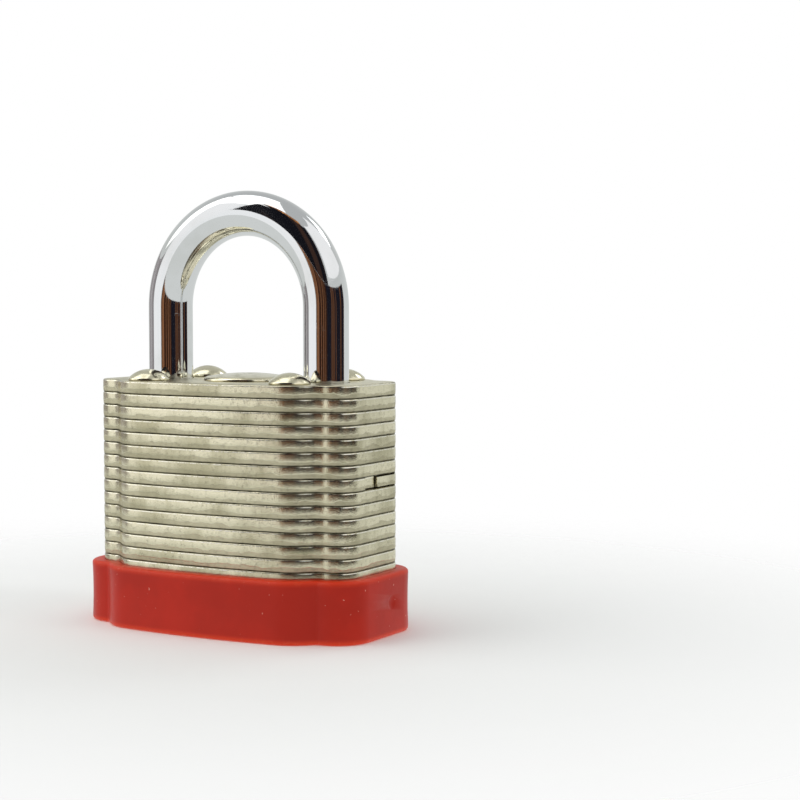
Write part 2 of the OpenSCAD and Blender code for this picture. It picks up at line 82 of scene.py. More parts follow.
# Where the frame's parts are
STACK_LOW, STACK_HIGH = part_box("base_plate")[0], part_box("lamination_01")[1]
PLATE_COUNT = 19
PLATE_T = (STACK_HIGH.z - STACK_LOW.z) / PLATE_COUNT
BOOT_LOW, BOOT_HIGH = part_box("bumper_boot")
SHACKLE_LOW, SHACKLE_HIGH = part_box("shackle")
LEG_R = (SHACKLE_HIGH.y - SHACKLE_LOW.y) / 2
LEG_X = SHACKLE_HIGH.x - LEG_R
ARCH_Z = SHACKLE_HIGH.z - LEG_R - LEG_X
SHACKLE_POINTS = [v.co for v in frame["nodes"]["shackle"].data.vertices]
TOE_Z = min(p.z for p in SHACKLE_POINTS if p.x < 0)
HEEL_Z = SHACKLE_LOW.z
CAP_LOW, CAP_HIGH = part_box("centre_cap")
PLUG_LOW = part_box("plug")[0]

# Plates that are alike, by number from the top: the first is modelled and the others are its copies
PLATE_RUNS = ((1, 2), (3, 3), (4, 6), (7, 7), (8, 8), (9, 11), (12, 18))
# The plate with windows in its ends, and how far they reach in from the end and from the middle
WINDOW_PLATE = 8
WINDOW_IN, WINDOW_HALF = 2.4 * MM, 5.4 * MM
# Places on the rim of the key opening and on the straight part of an end face
OPENING_Y, END_Y = -1.3 * MM, -2 * MM
# Stretches over which a plate's whole edge and its torn band wander
LONG_WAVE, SHORT_WAVE = 3.5 * MM, 0.9 * MM
RIVETS = ("rivet_front_left", "rivet_front_right", "rivet_rear_left", "rivet_rear_right")


# ---- sizes and colours that a user would change ----------------------------

class PlateLook(bpy.types.PropertyGroup):
    """Edges and colours of the stamped plates"""
    die_roll: FloatProperty(
        name="Die roll", description="Radius of a plate's upper outer edge",
        default=0.26 * MM, min=0.05 * MM, max=0.4 * MM, subtype="DISTANCE", unit="LENGTH")
    burr: FloatProperty(
        name="Burr", description="Chamfer of a plate's lower outer edge",
        default=0.07 * MM, min=0.02 * MM, max=0.2 * MM, subtype="DISTANCE", unit="LENGTH")
    break_share: FloatProperty(
        name="Broken share",
        description="Part of a plate's edge that the punch tore instead of cutting",
        default=0.36, min=0.1, max=0.6, subtype="FACTOR")
    break_draft: FloatProperty(
        name="Broken draft", description="How far the torn part of an edge leans in",
        default=0.05 * MM, min=0, max=0.15 * MM, subtype="DISTANCE", unit="LENGTH")
    edge_step: FloatProperty(
        name="Edge step", description="Longest stretch of a plate's edge between two points",
        default=0.6 * MM, min=0.2 * MM, max=2 * MM, subtype="DISTANCE", unit="LENGTH")
    waver: FloatProperty(
        name="Waver", description="How far a plate's whole edge wanders",
        default=0.016 * MM, min=0, max=0.1 * MM, subtype="DISTANCE", unit="LENGTH")
    torn_waver: FloatProperty(
        name="Torn waver", description="How far the torn lower edge wanders",
        default=0.10 * MM, min=0, max=0.2 * MM, subtype="DISTANCE", unit="LENGTH")
    bright: FloatVectorProperty(
        name="Nickel", description="Colour of the smooth nickel plating",
        default=(0.80, 0.75, 0.555), min=0, max=1, subtype="COLOR", size=3)
    dull: FloatVectorProperty(
        name="Dull nickel", description="Colour of the plating where it is rough or stained",
        default=(0.50, 0.465, 0.31), min=0, max=1, subtype="COLOR", size=3)


class BootLook(bpy.types.PropertyGroup):
    """Edges, draft and colours of the moulded boot"""
    top_round: FloatProperty(
        name="Top round", description="Radius of the boot's upper outer edge",
        default=0.55 * MM, min=0.1 * MM, max=0.8 * MM, subtype="DISTANCE", unit="LENGTH")
    foot_round: FloatProperty(
        name="Foot round", description="Radius of the boot's lower outer edge",
        default=0.5 * MM, min=0.1 * MM, max=0.8 * MM, subtype="DISTANCE", unit="LENGTH")
    lip_round: FloatProperty(
        name="Lip round", description="Radius of the lip's edges",
        default=0.16 * MM, min=0.05 * MM, max=0.2 * MM, subtype="DISTANCE", unit="LENGTH")
    waist: FloatProperty(
        name="Waist", description="How far the wall is drawn in at half its height",
        default=0.1 * MM, min=0, max=0.4 * MM, subtype="DISTANCE", unit="LENGTH")
    gate_r: FloatProperty(
        name="Gate mark", description="Radius of the dimple left by the moulding gate",
        default=0.95 * MM, min=0.4 * MM, max=1.5 * MM, subtype="DISTANCE", unit="LENGTH")
    gate_depth: FloatProperty(
        name="Gate depth", description="Depth of the dimple left by the moulding gate",
        default=0.2 * MM, min=0.05 * MM, max=0.4 * MM, subtype="DISTANCE", unit="LENGTH")
    red: FloatVectorProperty(
        name="Red", description="Colour of the boot's plastic",
        default=(0.53, 0.020, 0.007), min=0, max=1, subtype="COLOR", size=3)
    # painted light: a lighter red that is mixed in along the boot's top edge and foot
    painted_light_red: FloatVectorProperty(
        name="Edge red", description="Colour of the plastic where it is thin and lets light in",
        default=(0.74, 0.045, 0.010), min=0, max=1, subtype="COLOR", size=3)


class ShackleLook(bpy.types.PropertyGroup):
    """Form and colour of the shackle"""
    sides: IntProperty(
        name="Sides", description="Faces round the bar", default=64, min=24, max=128)
    bend_steps: IntProperty(
        name="Bend steps", description="Faces along the bend", default=96, min=24, max=160)
    end_chamfer: FloatProperty(
        name="End chamfer", description="Chamfer at the foot of each leg",
        default=0.6 * MM, min=0.1 * MM, max=1 * MM, subtype="DISTANCE", unit="LENGTH")
    notch_depth: FloatProperty(
        name="Notch depth", description="Depth of the latch notch in each leg",
        default=0.95 * MM, min=0.6 * MM, max=1.2 * MM, subtype="DISTANCE", unit="LENGTH")
    toe_lip: FloatProperty(
        name="Toe lip", description="Thickness of the toe below its notch",
        default=1.2 * MM, min=0.8 * MM, max=1.6 * MM, subtype="DISTANCE", unit="LENGTH")
    collar: FloatProperty(
        name="Collar", description="Height of the collar at the foot of the heel leg",
        default=2.2 * MM, min=1 * MM, max=3 * MM, subtype="DISTANCE", unit="LENGTH")
    flat_depth: FloatProperty(
        name="Flat depth", description="Depth of the retainer's flat along the heel leg",
        default=0.9 * MM, min=0.5 * MM, max=1.2 * MM, subtype="DISTANCE", unit="LENGTH")
    spring_bore: FloatProperty(
        name="Spring bore", description="Radius of the spring's bore in the heel leg",
        default=1.5 * MM, min=1 * MM, max=2 * MM, subtype="DISTANCE", unit="LENGTH")
    chrome: FloatVectorProperty(
        name="Chrome", description="Colour of the chrome plating",
        default=(0.80, 0.81, 0.82), min=0, max=1, subtype="COLOR", size=3)


class CylinderLook(bpy.types.PropertyGroup):
    """Edges and colours of the brass plug and the latch work"""
    face_chamfer: FloatProperty(
        name="Face chamfer", description="Chamfer of the edges in the plug's face",
        default=0.09 * MM, min=0.02 * MM, max=0.2 * MM, subtype="DISTANCE", unit="LENGTH")
    brass: FloatVectorProperty(
        name="Brass", description="Colour of freshly turned brass",
        default=(0.86, 0.62, 0.23), min=0, max=1, subtype="COLOR", size=3)
    dark_brass: FloatVectorProperty(
        name="Dark brass", description="Colour of tarnished brass",
        default=(0.42, 0.26, 0.08), min=0, max=1, subtype="COLOR", size=3)
    steel: FloatVectorProperty(
        name="Steel", description="Colour of the latch's oiled steel",
        default=(0.44, 0.43, 0.41), min=0, max=1, subtype="COLOR", size=3)


class StudioLook(bpy.types.PropertyGroup):
    """Camera, light and floor"""
    lens: FloatProperty(
        name="Lens", description="Focal length of the camera, in millimetres",
        default=83.07, min=20, max=200)
    tilt: FloatProperty(
        name="Tilt", description="How far the camera looks down",
        default=math.radians(3.471), subtype="ANGLE", unit="ROTATION")
    turn: FloatProperty(
        name="Turn", description="How far the camera is turned about the upright",
        default=math.radians(29.442), subtype="ANGLE", unit="ROTATION")
    place: FloatVectorProperty(
        name="Camera place", description="Where the camera stands",
        default=(0.1394, -0.2052, 0.04515), subtype="TRANSLATION", unit="LENGTH", size=3)
    floor: FloatVectorProperty(
        name="Floor", description="Colour of the floor",
        default=(0.97, 0.97, 0.965), min=0, max=1, subtype="COLOR", size=3)


# ---- hands: selecting, copying and shaping ---------------------------------

def activate(piece):
    """Selects one object and nothing else."""
    bpy.ops.object.select_all(action="DESELECT")
    piece.select_set(True)
    bpy.context.view_layer.objects.active = piece


def fresh_mesh(piece, kind="EDGE"):
    """Deselects everything in edit mode and gives the piece's edit mesh, which has to be held by
    a name for as long as its edges and faces are used."""
    bpy.ops.mesh.select_mode(type=kind)
    bpy.ops.mesh.select_all(action="DESELECT")
    return bmesh.from_edit_mesh(piece.data)


def open_mesh(piece, kind="EDGE"):
    """Enters edit mode with nothing selected and gives the piece's edit mesh."""
    activate(piece)
    bpy.ops.object.mode_set(mode="EDIT")
    return fresh_mesh(piece, kind)


def close_mesh():
    bpy.ops.object.mode_set(mode="OBJECT")


def pick(piece, elements):
    """Selects these elements of the piece's edit mesh."""
    for element in elements:
        element.select_set(True)
    bmesh.update_edit_mesh(piece.data)


def is_rim(edge):
    """True for an edge between a wall and a flat face."""
    if len(edge.link_faces) != 2:
        return False
    flats = [abs(face.normal.z) > FLAT for face in edge.link_faces]
    return flats[0] != flats[1]


def middle_of(edge):
    return (edge.verts[0].co + edge.verts[1].co) / 2


def rims_at(mesh, height):
    """All rim edges at a height."""
    return {e for e in mesh.edges if is_rim(e) and all(abs(v.co.z - height) < SNAP for v in e.verts)}


def loop_at(mesh, height, x, y):
    """The joined-up rim edges at a height, from the one nearest to x and y."""
    rims = rims_at(mesh, height)
    near = Vector((x, y, height))
    first = min(rims, key=lambda e: (middle_of(e) - near).length)
    found, waiting = {first}, [first]
    while waiting:
        for vert in waiting.pop().verts:
            fresh = [e for e in vert.link_edges if e in rims and e not in found]
            found.update(fresh)
            waiting += fresh
    return found


def redo_flats(piece, whole):
    """Cuts the flat faces of an open mesh into triangles, or makes them whole again."""
    mesh = fresh_mesh(piece, "FACE")
    pick(piece, [f for f in mesh.faces if abs(f.normal.z) > LEVEL])
    if whole:
        bpy.ops.mesh.dissolve_limited(angle_limit=FLAT_ANGLE)
    else:
        bpy.ops.mesh.quads_convert_to_tris(quad_method="BEAUTY", ngon_method="BEAUTY")
    fresh_mesh(piece)


def bevel(width, segments):
    bpy.ops.mesh.bevel(offset=width, segments=segments, profile=0.5, affect="EDGES",
                       clamp_overlap=False)


def merged_copy(node, name):
    """A copy of a CAD node's mesh with its loose triangles joined and its flats made whole."""
    piece = bpy.data.objects.new(name, frame["nodes"][node].data.copy())
    piece.data.materials.clear()
    bpy.context.scene.collection.objects.link(piece)
    open_mesh(piece, "VERT")
    bpy.ops.mesh.select_all(action="SELECT")
    bpy.ops.mesh.customdata_custom_splitnormals_clear()
    bpy.ops.mesh.remove_doubles(threshold=MERGE)
    bpy.ops.mesh.dissolve_limited(angle_limit=FLAT_ANGLE)
    close_mesh()
    return piece


def start_from(add, **settings):
    """Adds a primitive with nothing else selected, and puts its place into its mesh."""
    bpy.ops.object.select_all(action="DESELECT")
    add(**settings)
    bpy.ops.object.transform_apply(location=True, rotation=True, scale=True)
    return bpy.context.object


def turned(name, centre, rings, sides):
    """A closed round piece on an upright axis, from rings of (radius, height), lowest first."""
    radius, height = rings[0]
    x, y = centre
    piece = start_from(bpy.ops.mesh.primitive_circle_add, vertices=sides, radius=radius,
                       fill_type="NGON", location=(x, y, height))
    piece.name = name
    open_mesh(piece, "FACE")
    bpy.ops.mesh.select_all(action="SELECT")
    for next_radius, next_height in rings[1:]:
        rise = next_height - height
        bpy.ops.mesh.extrude_region_move(TRANSFORM_OT_translate={"value": (0, 0, rise)})
        share = next_radius / radius
        bpy.ops.transform.resize(value=(share, share, 1), center_override=(x, y, next_height))
        radius, height = next_radius, next_height
    bpy.ops.mesh.select_all(action="SELECT")
    bpy.ops.mesh.normals_make_consistent(inside=False)
    close_mesh()
    return piece


def dome(radius, low, rise, steps):
    """Rings of a shallow dome over a circle, ending in a small flat crown."""
    ball = (radius ** 2 + rise ** 2) / (2 * rise)
    crown_share = 0.05
    shares = [math.cos(math.pi / 2 * i / steps) for i in range(1, steps)] + [crown_share]
    return [(radius * s, low + math.sqrt(ball ** 2 - (radius * s) ** 2) - ball + rise) for s in shares]


def cut(piece, cutter):
    """Takes the cutter's shape out of the piece, and removes the cutter."""
    activate(piece)
    trim = piece.modifiers.new("Cut", "BOOLEAN")
    trim.operation, trim.solver, trim.object = "DIFFERENCE", "EXACT", cutter
    bpy.ops.object.modifier_apply(modifier=trim.name)
    bpy.data.objects.remove(cutter)


def block(low, high):
    """A cutter with these two corners."""
    bpy.ops.object.select_all(action="DESELECT")
    bpy.ops.mesh.primitive_cube_add(size=1, location=(Vector(low) + Vector(high)) / 2)
    bpy.context.object.scale = Vector(high) - Vector(low)
    bpy.ops.object.transform_apply(location=True, rotation=True, scale=True)
    return bpy.context.object


def drum(radius, low, high, x, sides):
    """A round cutter on an upright axis."""
    return start_from(bpy.ops.mesh.primitive_cylinder_add, vertices=sides, radius=radius,
                      depth=high - low, location=(x, 0, (low + high) / 2))


def finish_piece(piece, body, nodes, materials):
    """Smooths a piece, gives it its materials, and puts it on its body in place of its CAD nodes."""
    activate(piece)
    bpy.ops.object.shade_smooth_by_angle(angle=SMOOTH_ANGLE)
    if not piece.data.materials:
        for material in materials:
            piece.data.materials.append(material)
    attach(piece, body)
    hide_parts(*nodes)


# ---- node helpers ----------------------------------------------------------

def put(tree, kind, sockets=None, **settings):
    """Adds a node, sets it up, and fills its inputs with numbers or with other nodes' outputs."""
    node = tree.nodes.new(kind)
    for key, value in settings.items():
        setattr(node, key, value)
    for key, value in (sockets or {}).items():
        if isinstance(value, bpy.types.NodeSocket):
            tree.links.new(value, node.inputs[key])
        else:
            node.inputs[key].default_value = value
    return node


def math_of(tree, operation, first, second=0.0, clamp=False):
    node = put(tree, "ShaderNodeMath", {0: first, 1: second}, operation=operation, use_clamp=clamp)
    return node.outputs[0]


def times(tree, first, second):
    return math_of(tree, "MULTIPLY", first, second)


def plus(tree, first, second):
    return math_of(tree, "ADD", first, second)


def minus(tree, first, second, clamp=False):
    return math_of(tree, "SUBTRACT", first, second, clamp)


def ramp_of(tree, value, low, high, to_low=0.0, to_high=1.0, smooth=False):
    """A value taken from one range to another, and held inside it."""
    kind = "SMOOTHSTEP" if smooth else "LINEAR"
    node = put(tree, "ShaderNodeMapRange", {
        "Value": value, "From Min": low, "From Max": high, "To Min": to_low, "To Max": to_high},
        interpolation_type=kind, clamp=True)
    return node.outputs["Result"]


def noise_of(tree, vector, scale, detail=3.0, roughness=0.55):
    return put(tree, "ShaderNodeTexNoise", {
        "Vector": vector, "Scale": scale, "Detail": detail, "Roughness": roughness}).outputs["Fac"]


def mix_colour(tree, factor, first, second):
    node = put(tree, "ShaderNodeMix", data_type="RGBA", clamp_factor=True)
    for key, value in ((0, factor), (6, first), (7, second)):
        if isinstance(value, bpy.types.NodeSocket):
            tree.links.new(value, node.inputs[key])
        elif key:
            node.inputs[key].default_value = (*value[:3], 1.0)
        else:
            node.inputs[key].default_value = value
    return node.outputs[2]


def stretched(tree, vector, scale):
    return put(tree, "ShaderNodeMapping", {"Vector": vector, "Scale": scale}).outputs["Vector"]


def new_group(name, inputs, outputs):
    """A shader group with its own named sockets: the group, its input node and its output node."""
    group = bpy.data.node_groups.new(name, "ShaderNodeTree")
    for label, kind, default in inputs:
        socket = group.interface.new_socket(label, in_out="INPUT", socket_type=kind)
        if default is not None:
            socket.default_value = default
    for label, kind in outputs:
        group.interface.new_socket(label, in_out="OUTPUT", socket_type=kind)
    return group, group.nodes.new("NodeGroupInput"), group.nodes.new("NodeGroupOutput")


def use_group(tree, maker, sockets):
    """Places a shared group in a material with its own values."""
    node = put(tree, "ShaderNodeGroup", node_tree=maker())
    for key, value in sockets.items():
        if isinstance(value, bpy.types.NodeSocket):
            tree.links.new(value, node.inputs[key])
        else:
            node.inputs[key].default_value = value
    return node


def kept(maker):
    """Builds a material or a group once and hands out the same one after that."""
    store = {}

    def give(*arguments):
        if arguments not in store:
            store[arguments] = maker(*arguments)
        return store[arguments]
    return give


@kept
def grain_group():
    """Fine pits and lumps: an even value for roughness, and a height."""
    group, taken, given = new_group(
        "Grain",
        [("Vector", "NodeSocketVector", None), ("Scale", "NodeSocketFloat", 4000.0)],
        [("Value", "NodeSocketFloat"), ("Height", "NodeSocketFloat")])
    fine = noise_of(group, taken.outputs["Vector"], taken.outputs["Scale"], 4.0, 0.6)
    coarse_scale = times(group, taken.outputs["Scale"], 0.23)
    coarse = noise_of(group, taken.outputs["Vector"], coarse_scale, 3.0, 0.5)
    both = times(group, plus(group, fine, coarse), 0.5)
    group.links.new(both, given.inputs["Value"])
    group.links.new(ramp_of(group, both, 0.3, 0.7), given.inputs["Height"])
    return group


@kept
def scratch_group():
    """Long thin scratches along the second axis of the vector."""
    group, taken, given = new_group(
        "Scratches",
        [("Vector", "NodeSocketVector", None), ("Scale", "NodeSocketFloat", 900.0),
         ("Length", "NodeSocketFloat", 20.0)],
        [("Mask", "NodeSocketFloat")])
    thin = math_of(group, "DIVIDE", 1.0, taken.outputs["Length"])
    shape = put(group, "ShaderNodeCombineXYZ", {"X": 1.0, "Y": thin, "Z": 1.0})
    along = put(group, "ShaderNodeVectorMath", {0: taken.outputs["Vector"], 1: shape.outputs[0]},
                operation="MULTIPLY")
    lines = noise_of(group, along.outputs[0], taken.outputs["Scale"], 2.0, 0.4)
    ridge = math_of(group, "ABSOLUTE", minus(group, lines, 0.5))
    group.links.new(ramp_of(group, ridge, 0.0, 0.03, 1.0, 0.0), given.inputs["Mask"])
    return group


@kept
def stain_group():
    """Broad soft patches between two colours."""
    group, taken, given = new_group(
        "Stain",
        [("Vector", "NodeSocketVector", None), ("Scale", "NodeSocketFloat", 150.0),
         ("Bias", "NodeSocketFloat", 0.5), ("Clean", "NodeSocketColor", None),
         ("Stained", "NodeSocketColor", None)],
        [("Color", "NodeSocketColor"), ("Mask", "NodeSocketFloat")])
    patches = noise_of(group, taken.outputs["Vector"], taken.outputs["Scale"], 4.0, 0.6)
    low = minus(group, taken.outputs["Bias"], 0.14)
    high = plus(group, taken.outputs["Bias"], 0.14)
    mask = ramp_of(group, patches, low, high, smooth=True)
    colour = mix_colour(group, mask, taken.outputs["Clean"], taken.outputs["Stained"])
    group.links.new(colour, given.inputs["Color"])
    group.links.new(mask, given.inputs["Mask"])
    return group


def grain_of(tree, place, scale):
    """The shared grain: its value and its height."""
    given = use_group(tree, grain_group, {"Vector": place, "Scale": scale}).outputs
    return given["Value"], given["Height"]


def scratch_of(tree, place, scale, length):
    """The shared scratches, as a mask."""
    return use_group(tree, scratch_group, {
        "Vector": place, "Scale": scale, "Length": length}).outputs["Mask"]


def stain_of(tree, place, scale, bias, clean, stained):
    """The shared stains between two colours: the mixed colour and the mask."""
    given = use_group(tree, stain_group, {
        "Vector": place, "Scale": scale, "Bias": bias,
        "Clean": (*clean, 1.0), "Stained": (*stained, 1.0)}).outputs
    return given["Color"], given["Mask"]


def new_material(name, **plain):
    """A material with a Principled shader whose plain values are set on its own sockets."""
    material = bpy.data.materials.new(name)
    material.use_nodes = True
    tree = material.node_tree
    shader = tree.nodes["Principled BSDF"]
    for key, value in plain.items():
        shader.inputs[key.replace("_", " ")].default_value = value
    place = tree.nodes.new("ShaderNodeTexCoord").outputs["Object"]
    return material, tree, shader, place


def bump(tree, shader, height, distance, strength=1.0, below=None):
    """A bump that feeds the shader's normal, over another bump if there is one."""
    sockets = {"Height": height, "Distance": distance, "Strength": strength}
    if below is not None:
        sockets["Normal"] = below
    node = put(tree, "ShaderNodeBump", sockets)
    tree.links.new(node.outputs["Normal"], shader.inputs["Normal"])
    return node.outputs["Normal"]


def shaded(colour, shares):
    """A colour with each of its channels taken down to a share."""
    return [channel * share for channel, share in zip(colour, shares)]


# ---- finishes --------------------------------------------------------------

@kept
def plate_edge_finish():
    """Punched edge: a smooth burnished upper band and a torn, rougher lower one, with a painted
    highlight along the rolled top edge and painted shade in the seams between plates.
    """
    look = bpy.context.scene.padlock_plates
    material, tree, shader, place = new_material("nickel_punched_edge", Metallic=1.0)
    z = put(tree, "ShaderNodeSeparateXYZ", {0: place}).outputs["Z"]
    level = math_of(tree, "DIVIDE", minus(tree, z, STACK_LOW.z), PLATE_T)
    phase = math_of(tree, "FRACT", level)
    # each plate tears at its own height, so the noise is read a long way off from plate to plate
    plate_step = times(tree, math_of(tree, "FLOOR", level), 0.37)
    apart = put(tree, "ShaderNodeCombineXYZ", {"X": 0.0, "Y": 0.0, "Z": plate_step}).outputs[0]
    flat_place = stretched(tree, place, (1.0, 1.0, 0.15))
    own_place = put(tree, "ShaderNodeVectorMath", {0: flat_place, 1: apart}, operation="ADD").outputs[0]
    ragged = minus(tree, noise_of(tree, own_place, 420.0, 5.0, 0.62), 0.5)
    tear_line = plus(tree, times(tree, ragged, 0.9), look.break_share)
    torn = ramp_of(tree, minus(tree, tear_line, phase), -0.03, 0.05, smooth=True)
    # painted shade: the seams between plates, at the foot and just under the top of each plate, are
    # mixed towards near-black
    seam_shade = math_of(tree, "MAXIMUM", ramp_of(tree, phase, 0.03, 0.11, 1.0, 0.0),
                   ramp_of(tree, phase, 0.93, 0.97))
    grain, pits = grain_of(tree, place, 7600.0)
    stained, _ = stain_of(tree, own_place, 130.0, 0.56, look.bright, look.dull)
    rubbed = scratch_of(tree, stretched(tree, place, (1.0, 1.0, 0.08)), 2600.0, 1.0)
    worn = mix_colour(tree, times(tree, torn, 0.45), stained, look.dull)
    speck = ramp_of(tree, grain, 0.53, 0.65, 0.0, 0.42)
    flecked = mix_colour(tree, speck, worn, (0.20, 0.17, 0.12))
    patchy = ramp_of(tree, noise_of(tree, own_place, 700.0, 3.0, 0.6), 0.38, 0.60, 0.62, 1.0)
    # painted highlight: a broken bright band along each plate's rolled top edge, also made a little
    # smoother
    from_roll = math_of(tree, "ABSOLUTE", minus(tree, phase, 0.89))
    rolled = ramp_of(tree, from_roll, 0.02, 0.05, 1.0, 0.0)
    painted_highlight_mask = times(tree, rolled, ramp_of(tree, grain, 0.42, 0.52))
    lit = mix_colour(tree, times(tree, painted_highlight_mask, 0.85), flecked, (0.97, 0.94, 0.84))
    # the seams' painted shade, made patchy by noise, is laid over the colour here
    dark = mix_colour(tree, times(tree, seam_shade, patchy), lit, (0.020, 0.018, 0.010))
    tree.links.new(dark, shader.inputs["Base Color"])
    rough = plus(tree, ramp_of(tree, torn, 0.0, 1.0, 0.17, 0.42), times(tree, grain, 0.12))
    sleek = minus(tree, rough, times(tree, painted_highlight_mask, 0.12), clamp=True)
    tree.links.new(sleek, shader.inputs["Roughness"])
    below = bump(tree, shader, times(tree, rubbed, 0.3), 0.008 * MM, 0.5)
    rugged = times(tree, pits, ramp_of(tree, torn, 0.0, 1.0, 0.25, 1.0))
    tearing = minus(tree, rugged, times(tree, torn, 1.2))
    bump(tree, shader, tearing, 0.045 * MM, 0.9, below)
    return material


def satin(name, colour, dull, bias, rough, grain_scale, depth):
    """Nickel plating over a rolled face, with soft stains and a fine grain."""
    material, tree, shader, place = new_material(name, Metallic=1.0)
    grain, pits = grain_of(tree, place, grain_scale)
    stained, _ = stain_of(tree, place, 95.0, bias, colour, dull)
    scratch = scratch_of(tree, place, 700.0, 9.0)
    pit = ramp_of(tree, grain, 0.57, 0.68, 0.0, 0.55)
    pitted = mix_colour(tree, pit, stained, (0.16, 0.14, 0.10))
    tree.links.new(pitted, shader.inputs["Base Color"])
    uneven = times(tree, minus(tree, grain, 0.5), 0.5)
    tree.links.new(plus(tree, uneven, rough), shader.inputs["Roughness"])
    below = bump(tree, shader, times(tree, scratch, -0.4), 0.006 * MM, 0.5)
    bump(tree, shader, pits, depth, 0.7, below)
    return material


@kept
def plate_face_finish():
    look = bpy.context.scene.padlock_plates
    return satin("nickel_rolled_face", look.bright, look.dull, 0.60, 0.33, 3600.0, 0.010 * MM)


@kept
def base_face_finish():
    look = bpy.context.scene.padlock_plates
    return satin("nickel_base_face", look.bright, look.dull, 0.52, 0.40, 3000.0, 0.022 * MM)


@kept
def rivet_finish():
    """Bright nickel over a formed head."""
    look = bpy.context.scene.padlock_plates
    material, tree, shader, place = new_material("nickel_rivet", Metallic=1.0)
    stained, stain = stain_of(tree, place, 600.0, 0.62, look.bright, look.dull)
    tree.links.new(stained, shader.inputs["Base Color"])
    grain, pits = grain_of(tree, place, 2600.0)
    scratch = scratch_of(tree, place, 1900.0, 8.0)
    rough = plus(tree, times(tree, stain, 0.12), ramp_of(tree, grain, 0.3, 0.7, 0.10, 0.22))
    tree.links.new(rough, shader.inputs["Roughness"])
    below = bump(tree, shader, pits, 0.008 * MM, 0.5)
    bump(tree, shader, times(tree, scratch, -1.0), 0.004 * MM, 0.5, below)
    return material


@kept
def peened_finish():
    """Hammered and filed foot of a rivet: crossed file marks, dents and a few rust specks."""
    material, tree, shader, place = new_material("rivet_peened_foot", Metallic=1.0)
    file_turn = (0.0, 0.0, math.radians(-28))
    turned_place = put(tree, "ShaderNodeMapping", {"Vector": place, "Rotation": file_turn})
    filed = scratch_of(tree, turned_place.outputs["Vector"], 2600.0, 14.0)
    crossed = scratch_of(tree, place, 1500.0, 7.0)
    dents = noise_of(tree, place, 1500.0, 2.0, 0.5)
    stained, _ = stain_of(tree, place, 700.0, 0.52, (0.55, 0.53, 0.48), (0.30, 0.285, 0.25))
    rust = ramp_of(tree, noise_of(tree, place, 900.0, 4.0, 0.7), 0.68, 0.72)
    rusted = mix_colour(tree, rust, stained, (0.17, 0.05, 0.02))
    marks = math_of(tree, "MAXIMUM", filed, times(tree, crossed, 0.6))
    scored = mix_colour(tree, times(tree, marks, 0.35), rusted, (0.75, 0.74, 0.70))
    tree.links.new(scored, shader.inputs["Base Color"])
    tree.links.new(ramp_of(tree, dents, 0.3, 0.7, 0.28, 0.5), shader.inputs["Roughness"])
    below = bump(tree, shader, dents, 0.10 * MM, 0.8)
    bump(tree, shader, times(tree, marks, -1.0), 0.012 * MM, 0.8, below)
    return material


@kept
def boot_finish():
    """Soft moulded plastic: a fine spark-eroded grain, rubbed edges and light dust, with a lighter red
    painted along the top edge and the foot as painted light.
    """
    look = bpy.context.scene.padlock_boot
    material, tree, shader, place = new_material(
        "boot_moulded_red", Specular_IOR_Level=0.20,
        Subsurface_Weight=0.12, Subsurface_Scale=0.6 * MM)
    shader.inputs["Subsurface Radius"].default_value = (1.0, 0.25, 0.12)
    z = put(tree, "ShaderNodeSeparateXYZ", {0: place}).outputs["Z"]
    grain, pits = grain_of(tree, place, 5200.0)
    stained, _ = stain_of(tree, place, 90.0, 0.5, look.red, shaded(look.red, (0.84, 0.86, 0.9)))
    # painted light: this mask lightens the red at the top edge and the foot; it also places the rubbed
    # scuffs and adds a little roughness there
    top = ramp_of(tree, z, BOOT_HIGH.z - 0.9 * MM, BOOT_HIGH.z - 0.05 * MM, smooth=True)
    foot = ramp_of(tree, z, BOOT_LOW.z + 0.15 * MM, BOOT_LOW.z + 0.9 * MM, 1.0, 0.0, smooth=True)
    edge = math_of(tree, "MAXIMUM", times(tree, top, 0.75), foot)
    # painted light: the stained red is mixed towards a lighter red at the top edge and the foot
    stained_and_painted_light = mix_colour(tree, edge, stained, look.painted_light_red)
    flecks = ramp_of(tree, noise_of(tree, place, 2100.0, 2.0, 0.5), 0.735, 0.76)
    dusted = mix_colour(tree, times(tree, flecks, 0.6), stained_and_painted_light, (0.85, 0.45, 0.36))
    rubbed = times(tree, scratch_of(tree, place, 420.0, 5.0), times(tree, edge, 0.12))
    tree.links.new(mix_colour(tree, rubbed, dusted, (0.86, 0.20, 0.10)), shader.inputs["Base Color"])
    rough = plus(tree, ramp_of(tree, grain, 0.3, 0.7, 0.30, 0.42), times(tree, edge, 0.06))
    tree.links.new(rough, shader.inputs["Roughness"])
    ripple = noise_of(tree, stretched(tree, place, (1.0, 1.0, 0.4)), 170.0, 2.0, 0.5)
    below = bump(tree, shader, ripple, 0.05 * MM, 0.35)
    bump(tree, shader, pits, 0.006 * MM, 0.6, below)
    return material


